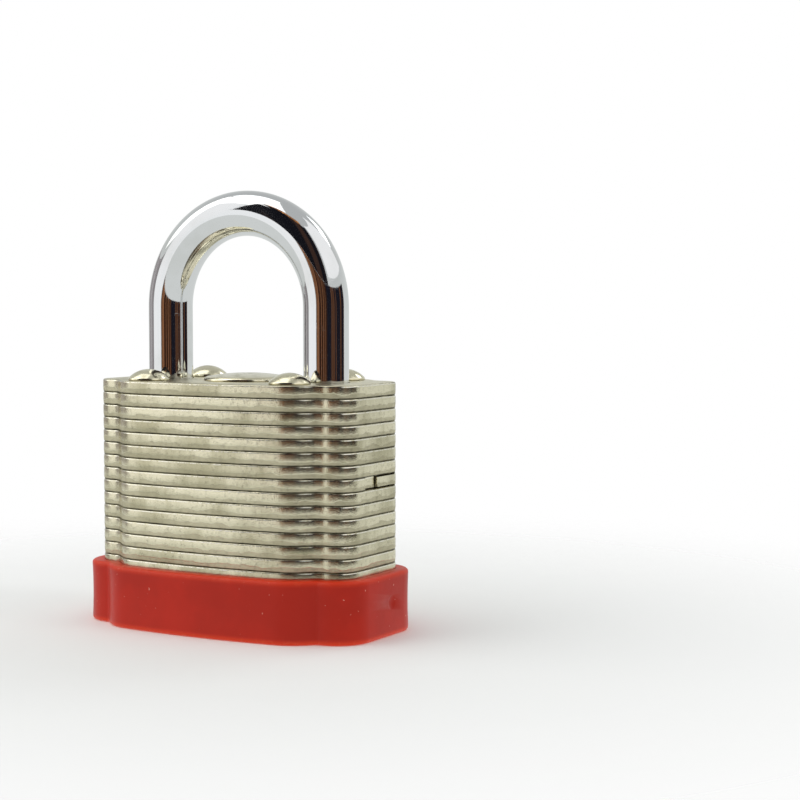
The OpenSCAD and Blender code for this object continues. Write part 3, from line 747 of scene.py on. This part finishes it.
@kept
def chrome_finish():
    """Bright chrome with handling scratches and a faint draw line along the bar."""
    look = bpy.context.scene.padlock_shackle
    material, tree, shader, place = new_material("shackle_bright_chrome", Metallic=1.0)
    stained, _ = stain_of(tree, place, 120.0, 0.6, look.chrome, shaded(look.chrome, (0.9, 0.9, 0.88)))
    tree.links.new(stained, shader.inputs["Base Color"])
    patch = ramp_of(tree, noise_of(tree, place, 260.0, 3.0, 0.6), 0.58, 0.75)
    seen = times(tree, scratch_of(tree, place, 1300.0, 6.0), patch)
    grain, _ = grain_of(tree, place, 2400.0)
    rough = plus(tree, ramp_of(tree, grain, 0.35, 0.7, 0.035, 0.085), times(tree, seen, 0.12))
    tree.links.new(rough, shader.inputs["Roughness"])
    drawn = noise_of(tree, stretched(tree, place, (1.0, 1.0, 0.03)), 900.0, 2.0, 0.5)
    below = bump(tree, shader, drawn, 0.010 * MM, 0.30)
    peel = noise_of(tree, place, 700.0, 2.0, 0.5)
    above = bump(tree, shader, peel, 0.008 * MM, 0.25, below)
    bump(tree, shader, times(tree, seen, -1.0), 0.004 * MM, 0.5, above)
    return material


@kept
def turned_brass_finish():
    """Brass face with rings from the lathe, stained in the low places."""
    look = bpy.context.scene.padlock_cylinder
    material, tree, shader, place = new_material("brass_turned", Metallic=1.0)
    level = stretched(tree, place, (1.0, 1.0, 0.0))
    from_axis = put(tree, "ShaderNodeVectorMath", {0: level}, operation="LENGTH").outputs["Value"]
    rings = put(tree, "ShaderNodeCombineXYZ", {"X": from_axis, "Y": 0.0, "Z": 0.0}).outputs[0]
    turning = noise_of(tree, rings, 9000.0, 3.0, 0.7)
    stained, _ = stain_of(tree, place, 330.0, 0.54, look.brass, look.dark_brass)
    lines = ramp_of(tree, turning, 0.5, 0.75, 0.0, 0.6)
    lined = mix_colour(tree, lines, stained, look.dark_brass)
    tree.links.new(lined, shader.inputs["Base Color"])
    tree.links.new(ramp_of(tree, turning, 0.3, 0.7, 0.20, 0.36), shader.inputs["Roughness"])
    bump(tree, shader, turning, 0.010 * MM, 0.8)
    return material


def worked_metal(name, clean, dull, scale, rough, depth):
    """Plain worked metal for the pieces inside: stains, fine grain and tool marks."""
    material, tree, shader, place = new_material(name, Metallic=1.0)
    stained, _ = stain_of(tree, place, scale, 0.55, clean, dull)
    marks = scratch_of(tree, place, 1400.0, 10.0)
    scraped = [min(1.0, c * 1.25) for c in clean]
    lit = mix_colour(tree, times(tree, marks, 0.3), stained, scraped)
    tree.links.new(lit, shader.inputs["Base Color"])
    grain, pits = grain_of(tree, place, 3800.0)
    uneven = ramp_of(tree, grain, 0.3, 0.7, rough, rough + 0.16)
    tree.links.new(uneven, shader.inputs["Roughness"])
    below = bump(tree, shader, pits, depth, 0.6)
    bump(tree, shader, times(tree, marks, -1.0), 0.006 * MM, 0.6, below)
    return material


@kept
def plain_brass_finish():
    look = bpy.context.scene.padlock_cylinder
    return worked_metal("brass_machined", look.brass, look.dark_brass, 240.0, 0.26, 0.010 * MM)


@kept
def latch_steel_finish():
    look = bpy.context.scene.padlock_cylinder
    darker = [c * 0.45 for c in look.steel]
    return worked_metal("steel_oiled", look.steel, darker, 320.0, 0.30, 0.014 * MM)


@kept
def spring_steel_finish():
    look = bpy.context.scene.padlock_cylinder
    lighter = [c * 1.25 for c in look.steel]
    return worked_metal("steel_spring_wire", lighter, look.steel, 800.0, 0.20, 0.006 * MM)


# ---- pieces ----------------------------------------------------------------

def wander(piece, group, size, depth):
    """Moves a group of points by a smooth noise, so that an edge isn't ruled with a straightedge."""
    cloud = bpy.data.textures.new(f"wander_{group}", "CLOUDS")
    cloud.cloud_type, cloud.noise_scale, cloud.noise_depth = "COLOR", size, 1
    activate(piece)
    shift = piece.modifiers.new("Wander", "DISPLACE")
    shift.texture, shift.direction, shift.texture_coords = cloud, "RGB_TO_XYZ", "LOCAL"
    shift.vertex_group, shift.strength, shift.mid_level = group, depth, 0.5
    bpy.ops.object.modifier_apply(modifier=shift.name)


def place_of(edge):
    """An edge's middle as whole steps of SNAP."""
    return tuple(round(c / SNAP) for c in middle_of(edge))


def split_edges(piece, edges, longest):
    """Cuts long edges into even stretches, and edges of about one length into as many."""
    cuts = {}
    for edge in edges:
        cuts.setdefault(math.ceil(edge.calc_length() / longest - 0.01) - 1, []).append(edge)
    # cutting one group makes the other groups' edges new ones, so they are known by their middles
    wanted = {count: {place_of(edge) for edge in group} for count, group in cuts.items() if count > 0}
    for count, places in wanted.items():
        mesh = fresh_mesh(piece)
        pick(piece, [edge for edge in mesh.edges if place_of(edge) in places])
        bpy.ops.mesh.subdivide(number_cuts=count)


def paint_plate(piece, face_material):
    """Walls take the punched finish and flats take the rolled one."""
    level_enough = 0.8
    piece.data.materials.clear()
    piece.data.materials.append(plate_edge_finish())
    piece.data.materials.append(face_material)
    for face in piece.data.polygons:
        face.material_index = 1 if abs(face.normal.z) > level_enough else 0


def near_window(edge):
    """True for an edge by the windows in a plate's ends."""
    middle = middle_of(edge)
    return abs(middle.x) > STACK_HIGH.x - WINDOW_IN and abs(middle.y) < WINDOW_HALF


def outer_rim(mesh, level, window):
    """A plate's outer edges at a level, without those by its windows if it has them."""
    rim = loop_at(mesh, level, STACK_HIGH.x, STACK_LOW.y / 3)
    return [edge for edge in rim if not (window and near_window(edge))]


def column_of(vert):
    """A point's x and y as whole steps of SNAP."""
    return round(vert.co.x / SNAP), round(vert.co.y / SNAP)


def round_plate(piece, look, low, high, window):
    """Rounds a plate's outer edges and leans the torn band in."""
    tear_z = low + (high - low) * look.break_share
    open_mesh(piece)
    redo_flats(piece, whole=False)
    mesh = bmesh.from_edit_mesh(piece.data)
    rims = outer_rim(mesh, low, window) + outer_rim(mesh, high, window)
    split_edges(piece, rims, look.edge_step)
    redo_flats(piece, whole=True)
    mesh = bmesh.from_edit_mesh(piece.data)
    pick(piece, outer_rim(mesh, high, window))
    bevel(look.die_roll, 3)
    mesh = fresh_mesh(piece)
    columns = {column_of(vert) for edge in outer_rim(mesh, low, window) for vert in edge.verts}
    bpy.ops.mesh.select_all(action="SELECT")
    bpy.ops.mesh.bisect(plane_co=(0, 0, tear_z), plane_no=(0, 0, 1))
    mesh = fresh_mesh(piece, "VERT")
    pick(piece, [v for v in mesh.verts if v.co.z < low + SNAP and column_of(v) in columns])
    shrink = [1 - look.break_draft / half for half in (STACK_HIGH.x, STACK_HIGH.y)]
    bpy.ops.transform.resize(value=(*shrink, 1), center_override=(0, 0, (low + high) / 2))
    mesh = fresh_mesh(piece)
    pick(piece, outer_rim(mesh, low, window))
    bevel(look.burr, 1)
    redo_flats(piece, whole=False)
    group_walls(piece, tear_z)


def group_walls(piece, tear_z):
    """Leaves edit mode, with a plate's outer walls in one group and their torn band in another."""
    far_x, far_y = STACK_HIGH.x * 0.83, STACK_HIGH.y * 0.66
    mesh = bmesh.from_edit_mesh(piece.data)
    walls = {v for f in mesh.faces if abs(f.normal.z) < LEVEL for v in f.verts}
    skin = [v for v in walls if abs(v.co.x) > far_x or abs(v.co.y) > far_y]
    torn = [v for v in skin if v.co.z < tear_z - SNAP]
    groups = {"skin": [v.index for v in skin], "torn": [v.index for v in torn]}
    close_mesh()
    for name, points in groups.items():
        piece.vertex_groups.new(name=name).add(points, 1.0, "REPLACE")


class PADLOCK_OT_plates(bpy.types.Operator):
    """Build the stamped plates, with rolled upper edges and torn lower ones"""
    bl_idname = "padlock.plates"
    bl_label = "Plates"

    def execute(self, context):
        look = context.scene.padlock_plates
        for first, last in PLATE_RUNS:
            low, high = (corner.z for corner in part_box(f"lamination_{first:02d}"))
            model = merged_copy(f"lamination_{first:02d}", f"plate_{first:02d}")
            round_plate(model, look, low, high, first == WINDOW_PLATE)
            for number in range(first, last + 1):
                piece = model
                if number > first:
                    activate(model)
                    bpy.ops.object.duplicate()
                    piece = context.object
                    piece.name = f"plate_{number:02d}"
                    piece.location.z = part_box(f"lamination_{number:02d}")[0].z - low
                    bpy.ops.object.transform_apply(location=True, rotation=True, scale=True)
                paint_plate(piece, plate_face_finish())
        for number in range(1, PLATE_COUNT):
            piece = bpy.data.objects[f"plate_{number:02d}"]
            wander(piece, "skin", LONG_WAVE, look.waver)
            wander(piece, "torn", SHORT_WAVE, look.torn_waver)
            piece.vertex_groups.clear()
            finish_piece(piece, "body", [f"lamination_{number:02d}"], [])
        return {"FINISHED"}


class PADLOCK_OT_base_plate(bpy.types.Operator):
    """Build the base plate, with its rolled key opening and rolled upper outer edge"""
    bl_idname = "padlock.base_plate"
    bl_label = "Base plate"

    def execute(self, context):
        look = context.scene.padlock_plates
        opening_roll = 0.22 * MM
        piece = merged_copy("base_plate", "plate_base")
        mesh = open_mesh(piece)
        pick(piece, loop_at(mesh, STACK_LOW.z, 0, OPENING_Y))
        bevel(opening_roll, 3)
        mesh = fresh_mesh(piece)
        pick(piece, loop_at(mesh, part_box("base_plate")[1].z, STACK_HIGH.x, END_Y))
        bevel(look.die_roll, 3)
        close_mesh()
        paint_plate(piece, base_face_finish())
        finish_piece(piece, "body", ["base_plate"], [])
        return {"FINISHED"}


class PADLOCK_OT_boot(bpy.types.Operator):
    """Build the moulded boot, with a drawn-in waist, round edges and its gate mark"""
    bl_idname = "padlock.boot"
    bl_label = "Boot"

    def execute(self, context):
        look = context.scene.padlock_boot
        low, high = BOOT_LOW.z, BOOT_HIGH.z
        piece = merged_copy("bumper_boot", "boot")
        open_mesh(piece)
        levels = [low + (high - low) * share for share in (0.22, 0.36, 0.5, 0.64, 0.78)]
        for level in levels:
            bpy.ops.mesh.select_all(action="SELECT")
            bpy.ops.mesh.bisect(plane_co=(0, 0, level), plane_no=(0, 0, 1))
        for level in levels:
            mesh = fresh_mesh(piece, "VERT")
            walls = [f for f in mesh.faces if abs(f.normal.z) < FLAT and self.is_outer(f)]
            skin = {v for f in walls for v in f.verts}
            pick(piece, [v for v in skin if abs(v.co.z - level) < SNAP])
            swing = (level - (low + high) / 2) / ((high - low) / 2)
            inset = look.waist * (1 - swing ** 2)
            share = [1 - inset / half for half in (BOOT_HIGH.x, BOOT_HIGH.y)]
            bpy.ops.transform.resize(value=(*share, 1), center_override=(0, 0, level))
        for height, near_x, width, segments in (
                (high, BOOT_HIGH.x, look.top_round, 5), (low, BOOT_HIGH.x, look.foot_round, 5),
                (high, STACK_HIGH.x, look.lip_round, 3), (low, STACK_HIGH.x, look.lip_round, 3)):
            mesh = fresh_mesh(piece)
            pick(piece, loop_at(mesh, height, near_x, END_Y))
            bevel(width, segments)
        close_mesh()
        ball = (look.gate_r ** 2 + look.gate_depth ** 2) / (2 * look.gate_depth)
        gate_x = BOOT_HIGH.x - look.waist - look.gate_depth + ball
        gate_y, gate_z = 1.3 * MM, 4.4 * MM
        cut(piece, start_from(bpy.ops.mesh.primitive_uv_sphere_add, segments=96, ring_count=96,
                              radius=ball, location=(gate_x, gate_y, gate_z)))
        finish_piece(piece, "body", ["bumper_boot"], [boot_finish()])
        return {"FINISHED"}

    @staticmethod
    def is_outer(face):
        """True for a wall face that looks away from the boot's middle."""
        middle = face.calc_center_median()
        return middle.x * face.normal.x + middle.y * face.normal.y > 0


class PADLOCK_OT_shackle(bpy.types.Operator):
    """Build the shackle: a bent bar with two legs, notches, a retainer flat and a spring bore"""
    bl_idname = "padlock.shackle"
    bl_label = "Shackle"

    def execute(self, context):
        look = context.scene.padlock_shackle
        piece = start_from(bpy.ops.mesh.primitive_circle_add, vertices=look.sides, radius=LEG_R,
                           location=(-LEG_X, 0, ARCH_Z))
        piece.name = "shackle_bar"
        open_mesh(piece)
        bpy.ops.mesh.select_all(action="SELECT")
        bpy.ops.mesh.spin(steps=look.bend_steps, angle=-math.pi,
                          center=(0, 0, ARCH_Z), axis=(0, 1, 0))
        for side, foot in ((-1, TOE_Z), (1, HEEL_Z)):
            self.extend_leg(piece, side, foot, look.end_chamfer)
        bpy.ops.mesh.select_all(action="SELECT")
        bpy.ops.mesh.remove_doubles(threshold=MERGE)
        bpy.ops.mesh.normals_make_consistent(inside=False)
        close_mesh()
        self.cut_legs(piece, look)
        finish_piece(piece, "shackle", ["shackle"], [chrome_finish()])
        return {"FINISHED"}

    @staticmethod
    def extend_leg(piece, side, foot, chamfer):
        """Runs one end of the bend down to its foot, in stages, and closes it with a chamfer."""
        mesh = fresh_mesh(piece)
        pick(piece, [e for e in mesh.edges if all(
            abs(v.co.z - ARCH_Z) < SNAP and v.co.x * side > 0 for v in e.verts)])
        for drop in (STACK_HIGH.z - ARCH_Z, foot + chamfer - STACK_HIGH.z, -chamfer):
            bpy.ops.mesh.extrude_region_move(TRANSFORM_OT_translate={"value": (0, 0, drop)})
        share = (LEG_R - chamfer) / LEG_R
        bpy.ops.transform.resize(value=(share, share, 1), center_override=(side * LEG_X, 0, foot))
        bpy.ops.mesh.edge_face_add()

    @staticmethod
    def cut_legs(piece, look):
        """Cuts the latch notches, the retainer's flat and neck, and the spring's bore."""
        notch_low = TOE_Z + look.toe_lip
        notch_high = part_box("lever_toe")[1].z + 0.2 * MM
        over = 2 * LEG_R
        inner_x = LEG_X - LEG_R
        for side in (-1, 1):
            left, right = sorted((side * (inner_x + look.notch_depth), side * (inner_x - MM)))
            cut(piece, block((left, -over, notch_low), (right, over, notch_high)))
        collar_z = HEEL_Z + look.collar
        flat_x = LEG_X + LEG_R - look.flat_depth
        retainer_low, retainer_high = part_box("shackle_retainer")
        flat_top = retainer_high.z + 0.1 * MM
        cut(piece, block((flat_x, -over, collar_z), (LEG_X + over, over, flat_top)))
        neck_top = collar_z + (retainer_high.z - retainer_low.z) + 0.3 * MM
        ring = drum(over, collar_z, neck_top, LEG_X, look.sides)
        cut(ring, drum(LEG_R - look.flat_depth, collar_z - MM, neck_top + MM, LEG_X, look.sides))
        cut(piece, ring)
        spring_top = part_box("shackle_spring")[1].z + 0.05 * MM
        cut(piece, drum(look.spring_bore, HEEL_Z - MM, spring_top, LEG_X, look.sides))


class PADLOCK_OT_rivets(bpy.types.Operator):
    """Build the four rivets, with domed heads above and peened feet below"""
    bl_idname = "padlock.rivets"
    bl_label = "Rivets"

    def execute(self, context):
        rim, foot_h, head_r, shank_r = 0.16 * MM, 0.9 * MM, 2.75 * MM, 1.6 * MM
        top = STACK_HIGH.z
        for node in RIVETS:
            low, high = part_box(node)
            middle = (low + high) / 2
            points = [v.co for v in frame["nodes"][node].data.vertices]
            foot_r = max(p.x for p in points if p.z < low.z + SNAP) - middle.x
            foot = [
                (foot_r * 0.35, low.z + 0.05 * MM), (foot_r * 0.7, low.z + 0.03 * MM),
                (foot_r - 0.14 * MM, low.z), (foot_r - 0.04 * MM, low.z + 0.03 * MM),
                (foot_r - 0.02 * MM, low.z + 0.1 * MM)]
            head = [
                (head_r - rim, top), (head_r - 0.03 * MM, top + rim * 0.4),
                (head_r, top + rim), (head_r - 0.05 * MM, top + rim * 2)]
            rings = [*foot, (shank_r, low.z + foot_h), (shank_r, top), *head]
            crown = dome(head_r - 0.05 * MM, top + rim * 2, high.z - top - rim * 2, 10)
            piece = turned(node.replace("rivet", "riveted"), (middle.x, middle.y), rings + crown, 64)
            piece.data.materials.append(rivet_finish())
            piece.data.materials.append(peened_finish())
            for face in piece.data.polygons:
                face.material_index = 1 if face.center.z < low.z + foot_h / 4 else 0
            finish_piece(piece, "body", [node], [])
        return {"FINISHED"}


class PADLOCK_OT_cap(bpy.types.Operator):
    """Build the domed cap between the legs"""
    bl_idname = "padlock.cap"
    bl_label = "Centre cap"

    def execute(self, context):
        radius = CAP_HIGH.x
        stem_r = 2.9 * MM
        top = STACK_HIGH.z
        flank = 0.55 * MM
        rings = [
            (stem_r - 0.3 * MM, CAP_LOW.z), (stem_r, CAP_LOW.z + 0.3 * MM), (stem_r, top),
            (radius - 0.1 * MM, top), (radius, top + 0.08 * MM), (radius - 0.03 * MM, top + 0.2 * MM),
            (radius - 0.22 * MM, top + flank * 0.8), (radius - 0.5 * MM, top + flank)]
        crown = dome(radius - 0.5 * MM, top + flank, CAP_HIGH.z - top - flank, 8)
        piece = turned("cap_domed", (0, 0), rings + crown, 96)
        finish_piece(piece, "body", ["centre_cap"], [rivet_finish()])
        return {"FINISHED"}


class PADLOCK_OT_plug(bpy.types.Operator):
    """Build the brass plug, with its chamfered keyway and countersink"""
    bl_idname = "padlock.plug"
    bl_label = "Plug"

    def execute(self, context):
        look = context.scene.padlock_cylinder
        piece = merged_copy("plug", "plug_turned")
        mesh = open_mesh(piece)
        pick(piece, rims_at(mesh, PLUG_LOW.z))
        bevel(look.face_chamfer, 2)
        close_mesh()
        finish_piece(piece, "plug", ["plug"], [turned_brass_finish()])
        return {"FINISHED"}


class PADLOCK_OT_works(bpy.types.Operator):
    """Give the pieces inside their finishes: housing, pins, levers, cam and springs"""
    bl_idname = "padlock.works"
    bl_label = "Works"

    def execute(self, context):
        finishes = {"brass": plain_brass_finish(), "latch_steel": latch_steel_finish(),
                    "spring_steel": spring_steel_finish()}
        brass = ("cylinder_housing", "chamber_cover", "bottom_pin")
        springs = ("pin_spring", "lever_spring", "shackle_spring", "plug_clip", "driver_pin")
        for name, node in frame["nodes"].items():
            if node.hide_render:
                continue
            kind = "latch_steel"
            if name.startswith(brass):
                kind = "brass"
            elif name.startswith(springs):
                kind = "spring_steel"
            node.data.materials.clear()
            node.data.materials.append(finishes[kind])
        return {"FINISHED"}


# ---- studio ----------------------------------------------------------------

def floor_finish(colour):
    """Pale matt paper that fades out round the padlock and can't be seen from beneath."""
    material, tree, shader, place = new_material("paper_floor", Roughness=0.75)
    shade = noise_of(tree, place, 3.0, 3.0, 0.5)
    darker = [c * 0.97 for c in colour]
    tint = mix_colour(tree, ramp_of(tree, shade, 0.3, 0.7, 0.0, 0.25), colour, darker)
    tree.links.new(tint, shader.inputs["Base Color"])
    clear = put(tree, "ShaderNodeBsdfTransparent")
    back = put(tree, "ShaderNodeNewGeometry").outputs["Backfacing"]
    reach = put(tree, "ShaderNodeVectorMath", {0: place}, operation="LENGTH").outputs["Value"]
    fade = ramp_of(tree, reach, 0.03, 0.13, smooth=True)
    gone = math_of(tree, "MAXIMUM", back, fade)
    both = put(tree, "ShaderNodeMixShader",
               {0: gone, 1: shader.outputs["BSDF"], 2: clear.outputs["BSDF"]})
    tree.links.new(both.outputs["Shader"], tree.nodes["Material Output"].inputs["Surface"])
    return material


def card_finish(name, dark, light, scale):
    """A card of soft folds between two colours, which gives its own light."""
    material, tree, _, place = new_material(name)
    folds = noise_of(tree, stretched(tree, place, (1.0, 1.0, 0.05)), scale, 3.0, 0.5)
    colour = mix_colour(tree, ramp_of(tree, folds, 0.50, 0.62), dark, light)
    glow = put(tree, "ShaderNodeEmission", {"Color": colour, "Strength": 1.0})
    tree.links.new(glow.outputs["Emission"], tree.nodes["Material Output"].inputs["Surface"])
    return material


def curved_card(name, radius, start, end, low, high, material):
    """An upright card bent round the padlock between two bearings, seen only in reflections."""
    x, y = radius * math.sin(start), -radius * math.cos(start)
    card = start_from(bpy.ops.mesh.primitive_plane_add, size=0.02, location=(x, y, low))
    card.name = name
    mesh = open_mesh(card, "VERT")
    spare = sorted(mesh.verts, key=lambda v: v.index)[2:]
    pick(card, spare)
    bpy.ops.mesh.delete(type="VERT")
    mesh = bmesh.from_edit_mesh(card.data)
    for vert, height in zip(mesh.verts, (low, high)):
        vert.co = Vector((x, y, height))
    bpy.ops.mesh.select_all(action="SELECT")
    bpy.ops.mesh.spin(steps=24, angle=start - end, center=(0, 0, 0), axis=(0, 0, 1))
    close_mesh()
    card.data.materials.append(material)
    card.visible_camera = card.visible_diffuse = card.visible_shadow = False


def soft_light(name, bearing, rise, distance, size, power, colour, mirrored):
    """A square soft box that looks at the padlock's middle."""
    target = Vector((0, 0, 0.03))
    level = math.cos(rise)
    way = Vector((math.sin(bearing) * level, -math.cos(bearing) * level, math.sin(rise)))
    light = bpy.data.lights.new(name, "AREA")
    light.shape, light.size, light.size_y = "RECTANGLE", size[0], size[1]
    light.energy, light.color = power, colour
    lamp = bpy.data.objects.new(name, light)
    lamp.location = target + way * distance
    lamp.rotation_euler = (-way).to_track_quat("-Z", "Y").to_euler()
    lamp.visible_glossy = mirrored
    bpy.context.scene.collection.objects.link(lamp)


class PADLOCK_OT_studio(bpy.types.Operator):
    """Set up the floor, the light, the reflection cards and the camera"""
    bl_idname = "padlock.studio"
    bl_label = "Studio"

    def execute(self, context):
        look = context.scene.padlock_studio
        self.lay_floor(look)
        self.light_up(context.scene)
        self.hang_cards()
        camera_data = bpy.data.cameras.new("camera")
        camera_data.lens, camera_data.sensor_width = look.lens, 36.0
        camera_data.clip_start, camera_data.clip_end = 0.01, 20.0
        camera = bpy.data.objects.new("camera", camera_data)
        camera.location = look.place
        camera.rotation_euler = (math.pi / 2 - look.tilt, 0, look.turn)
        context.scene.collection.objects.link(camera)
        context.scene.camera = camera
        context.scene.view_settings.view_transform = "Standard"
        return {"FINISHED"}

    @staticmethod
    def lay_floor(look):
        radius, sheet = 2.5, 0.02
        floor = turned("floor", (0, 0), [(radius, -sheet), (radius, 0.0)], 128)
        mesh = open_mesh(floor, "FACE")
        pick(floor, [f for f in mesh.faces if f.normal.z < FLAT])
        bpy.ops.mesh.delete(type="FACE")
        close_mesh()
        floor.data.materials.append(floor_finish(look.floor))
        floor.visible_diffuse = floor.visible_glossy = floor.visible_shadow = False

    @staticmethod
    def light_up(scene):
        world = bpy.data.worlds.new("white_tent")
        scene.world = world
        world.use_nodes = True
        tree = world.node_tree
        tree.nodes.clear()
        way = tree.nodes.new("ShaderNodeTexCoord").outputs["Generated"]
        height = put(tree, "ShaderNodeSeparateXYZ", {0: way}).outputs["Z"]
        wall = ramp_of(tree, height, -0.1, 0.9, 0.0, 1.0, smooth=True)
        colour = mix_colour(tree, wall, (1.0, 1.03, 1.01), (0.70, 0.72, 0.72))
        lighting = put(tree, "ShaderNodeBackground", {"Color": colour, "Strength": 0.72})
        seen = put(tree, "ShaderNodeBackground", {"Color": (1.0, 1.0, 1.0, 1.0), "Strength": 1.0})
        to_camera = tree.nodes.new("ShaderNodeLightPath").outputs["Is Camera Ray"]
        both = put(tree, "ShaderNodeMixShader",
                   {0: to_camera, 1: lighting.outputs[0], 2: seen.outputs[0]})
        put(tree, "ShaderNodeOutputWorld", {"Surface": both.outputs["Shader"]})
        for name, bearing, rise, distance, size, power, tone, mirrored in (
                ("key_box", -55, 40, 0.9, (1.0, 0.7), 2.6, (1.0, 0.985, 0.95), True),
                ("top_box", -75, 72, 0.9, (0.6, 0.5), 1.0, (1.0, 1.0, 1.0), True),
                ("side_box", 96, 36, 0.8, (0.16, 0.5), 0.7, (1.0, 0.99, 0.97), False),
                ("back_box", 165, 40, 0.9, (0.3, 0.2), 0.5, (0.96, 0.99, 1.0), True)):
            soft_light(name, math.radians(bearing), math.radians(rise), distance, size, power,
                       tone, mirrored)

    @staticmethod
    def hang_cards():
        dark = card_finish("card_dark_cloth", (0.010, 0.010, 0.016), (0.13, 0.055, 0.025), 11.0)
        black = card_finish("card_black_cloth", (0.007, 0.007, 0.010), (0.045, 0.024, 0.018), 5.0)
        brown = card_finish("card_brown_cloth", (0.035, 0.014, 0.008), (0.36, 0.16, 0.075), 30.0)
        orange = card_finish("card_orange_hem", (0.20, 0.07, 0.02), (0.75, 0.34, 0.12), 30.0)
        mauve = card_finish("card_mauve_cloth", (0.26, 0.235, 0.24), (0.62, 0.60, 0.60), 40.0)
        white = card_finish("card_white_paper", (1.0, 1.0, 1.0), (0.94, 0.97, 0.98), 4.0)
        for name, radius, start, end, low, high, material in (
                ("card_mauve_low", 0.56, -118, -66, -0.02, 0.17, mauve),
                ("card_white_left", 0.57, -64, -19, -0.02, 0.55, white),
                ("card_brown_low", 0.55, -17, 38, -0.02, 0.19, brown),
                ("card_dark_low", 0.55, 38, 132, -0.02, 0.19, dark),
                ("card_dark_high", 0.545, -36, 53, 0.19, 1.15, black),
                ("card_orange_high", 0.545, -36, 40, 1.15, 1.45, orange),
                ("card_white_right", 0.56, 60, 150, 0.27, 1.40, white)):
            curved_card(name, radius, math.radians(start), math.radians(end), low, high, material)


# ---- panel, registration and the run ----------------------------------------

STEPS = ("plates", "base_plate", "boot", "shackle", "rivets", "cap", "plug", "works", "studio")
LOOKS = {"padlock_plates": PlateLook, "padlock_boot": BootLook, "padlock_shackle": ShackleLook,
         "padlock_cylinder": CylinderLook, "padlock_studio": StudioLook}


class PADLOCK_PT_panel(bpy.types.Panel):
    """Sizes and colours of the padlock, and a button for each group of pieces"""
    bl_idname = "PADLOCK_PT_panel"
    bl_label = "Laminated padlock"
    bl_space_type = "VIEW_3D"
    bl_region_type = "UI"
    bl_category = "Padlock"

    def draw(self, context):
        for name, look in LOOKS.items():
            box = self.layout.box()
            box.label(text=look.__doc__)
            for key in look.__annotations__:
                box.prop(getattr(context.scene, name), key)
        for step in STEPS:
            self.layout.operator(f"padlock.{step}")


CLASSES = (*LOOKS.values(), PADLOCK_OT_plates, PADLOCK_OT_base_plate, PADLOCK_OT_boot,
           PADLOCK_OT_shackle, PADLOCK_OT_rivets, PADLOCK_OT_cap, PADLOCK_OT_plug, PADLOCK_OT_works,
           PADLOCK_OT_studio, PADLOCK_PT_panel)


def register():
    for item in CLASSES:
        bpy.utils.register_class(item)
    for name, look in LOOKS.items():
        setattr(bpy.types.Scene, name, PointerProperty(type=look))


def unregister():
    for name in LOOKS:
        delattr(bpy.types.Scene, name)
    for item in reversed(CLASSES):
        bpy.utils.unregister_class(item)


def main():
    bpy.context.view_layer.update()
    register()
    for step in STEPS:
        getattr(bpy.ops.padlock, step)()


if __name__ == "__main__":
    main()
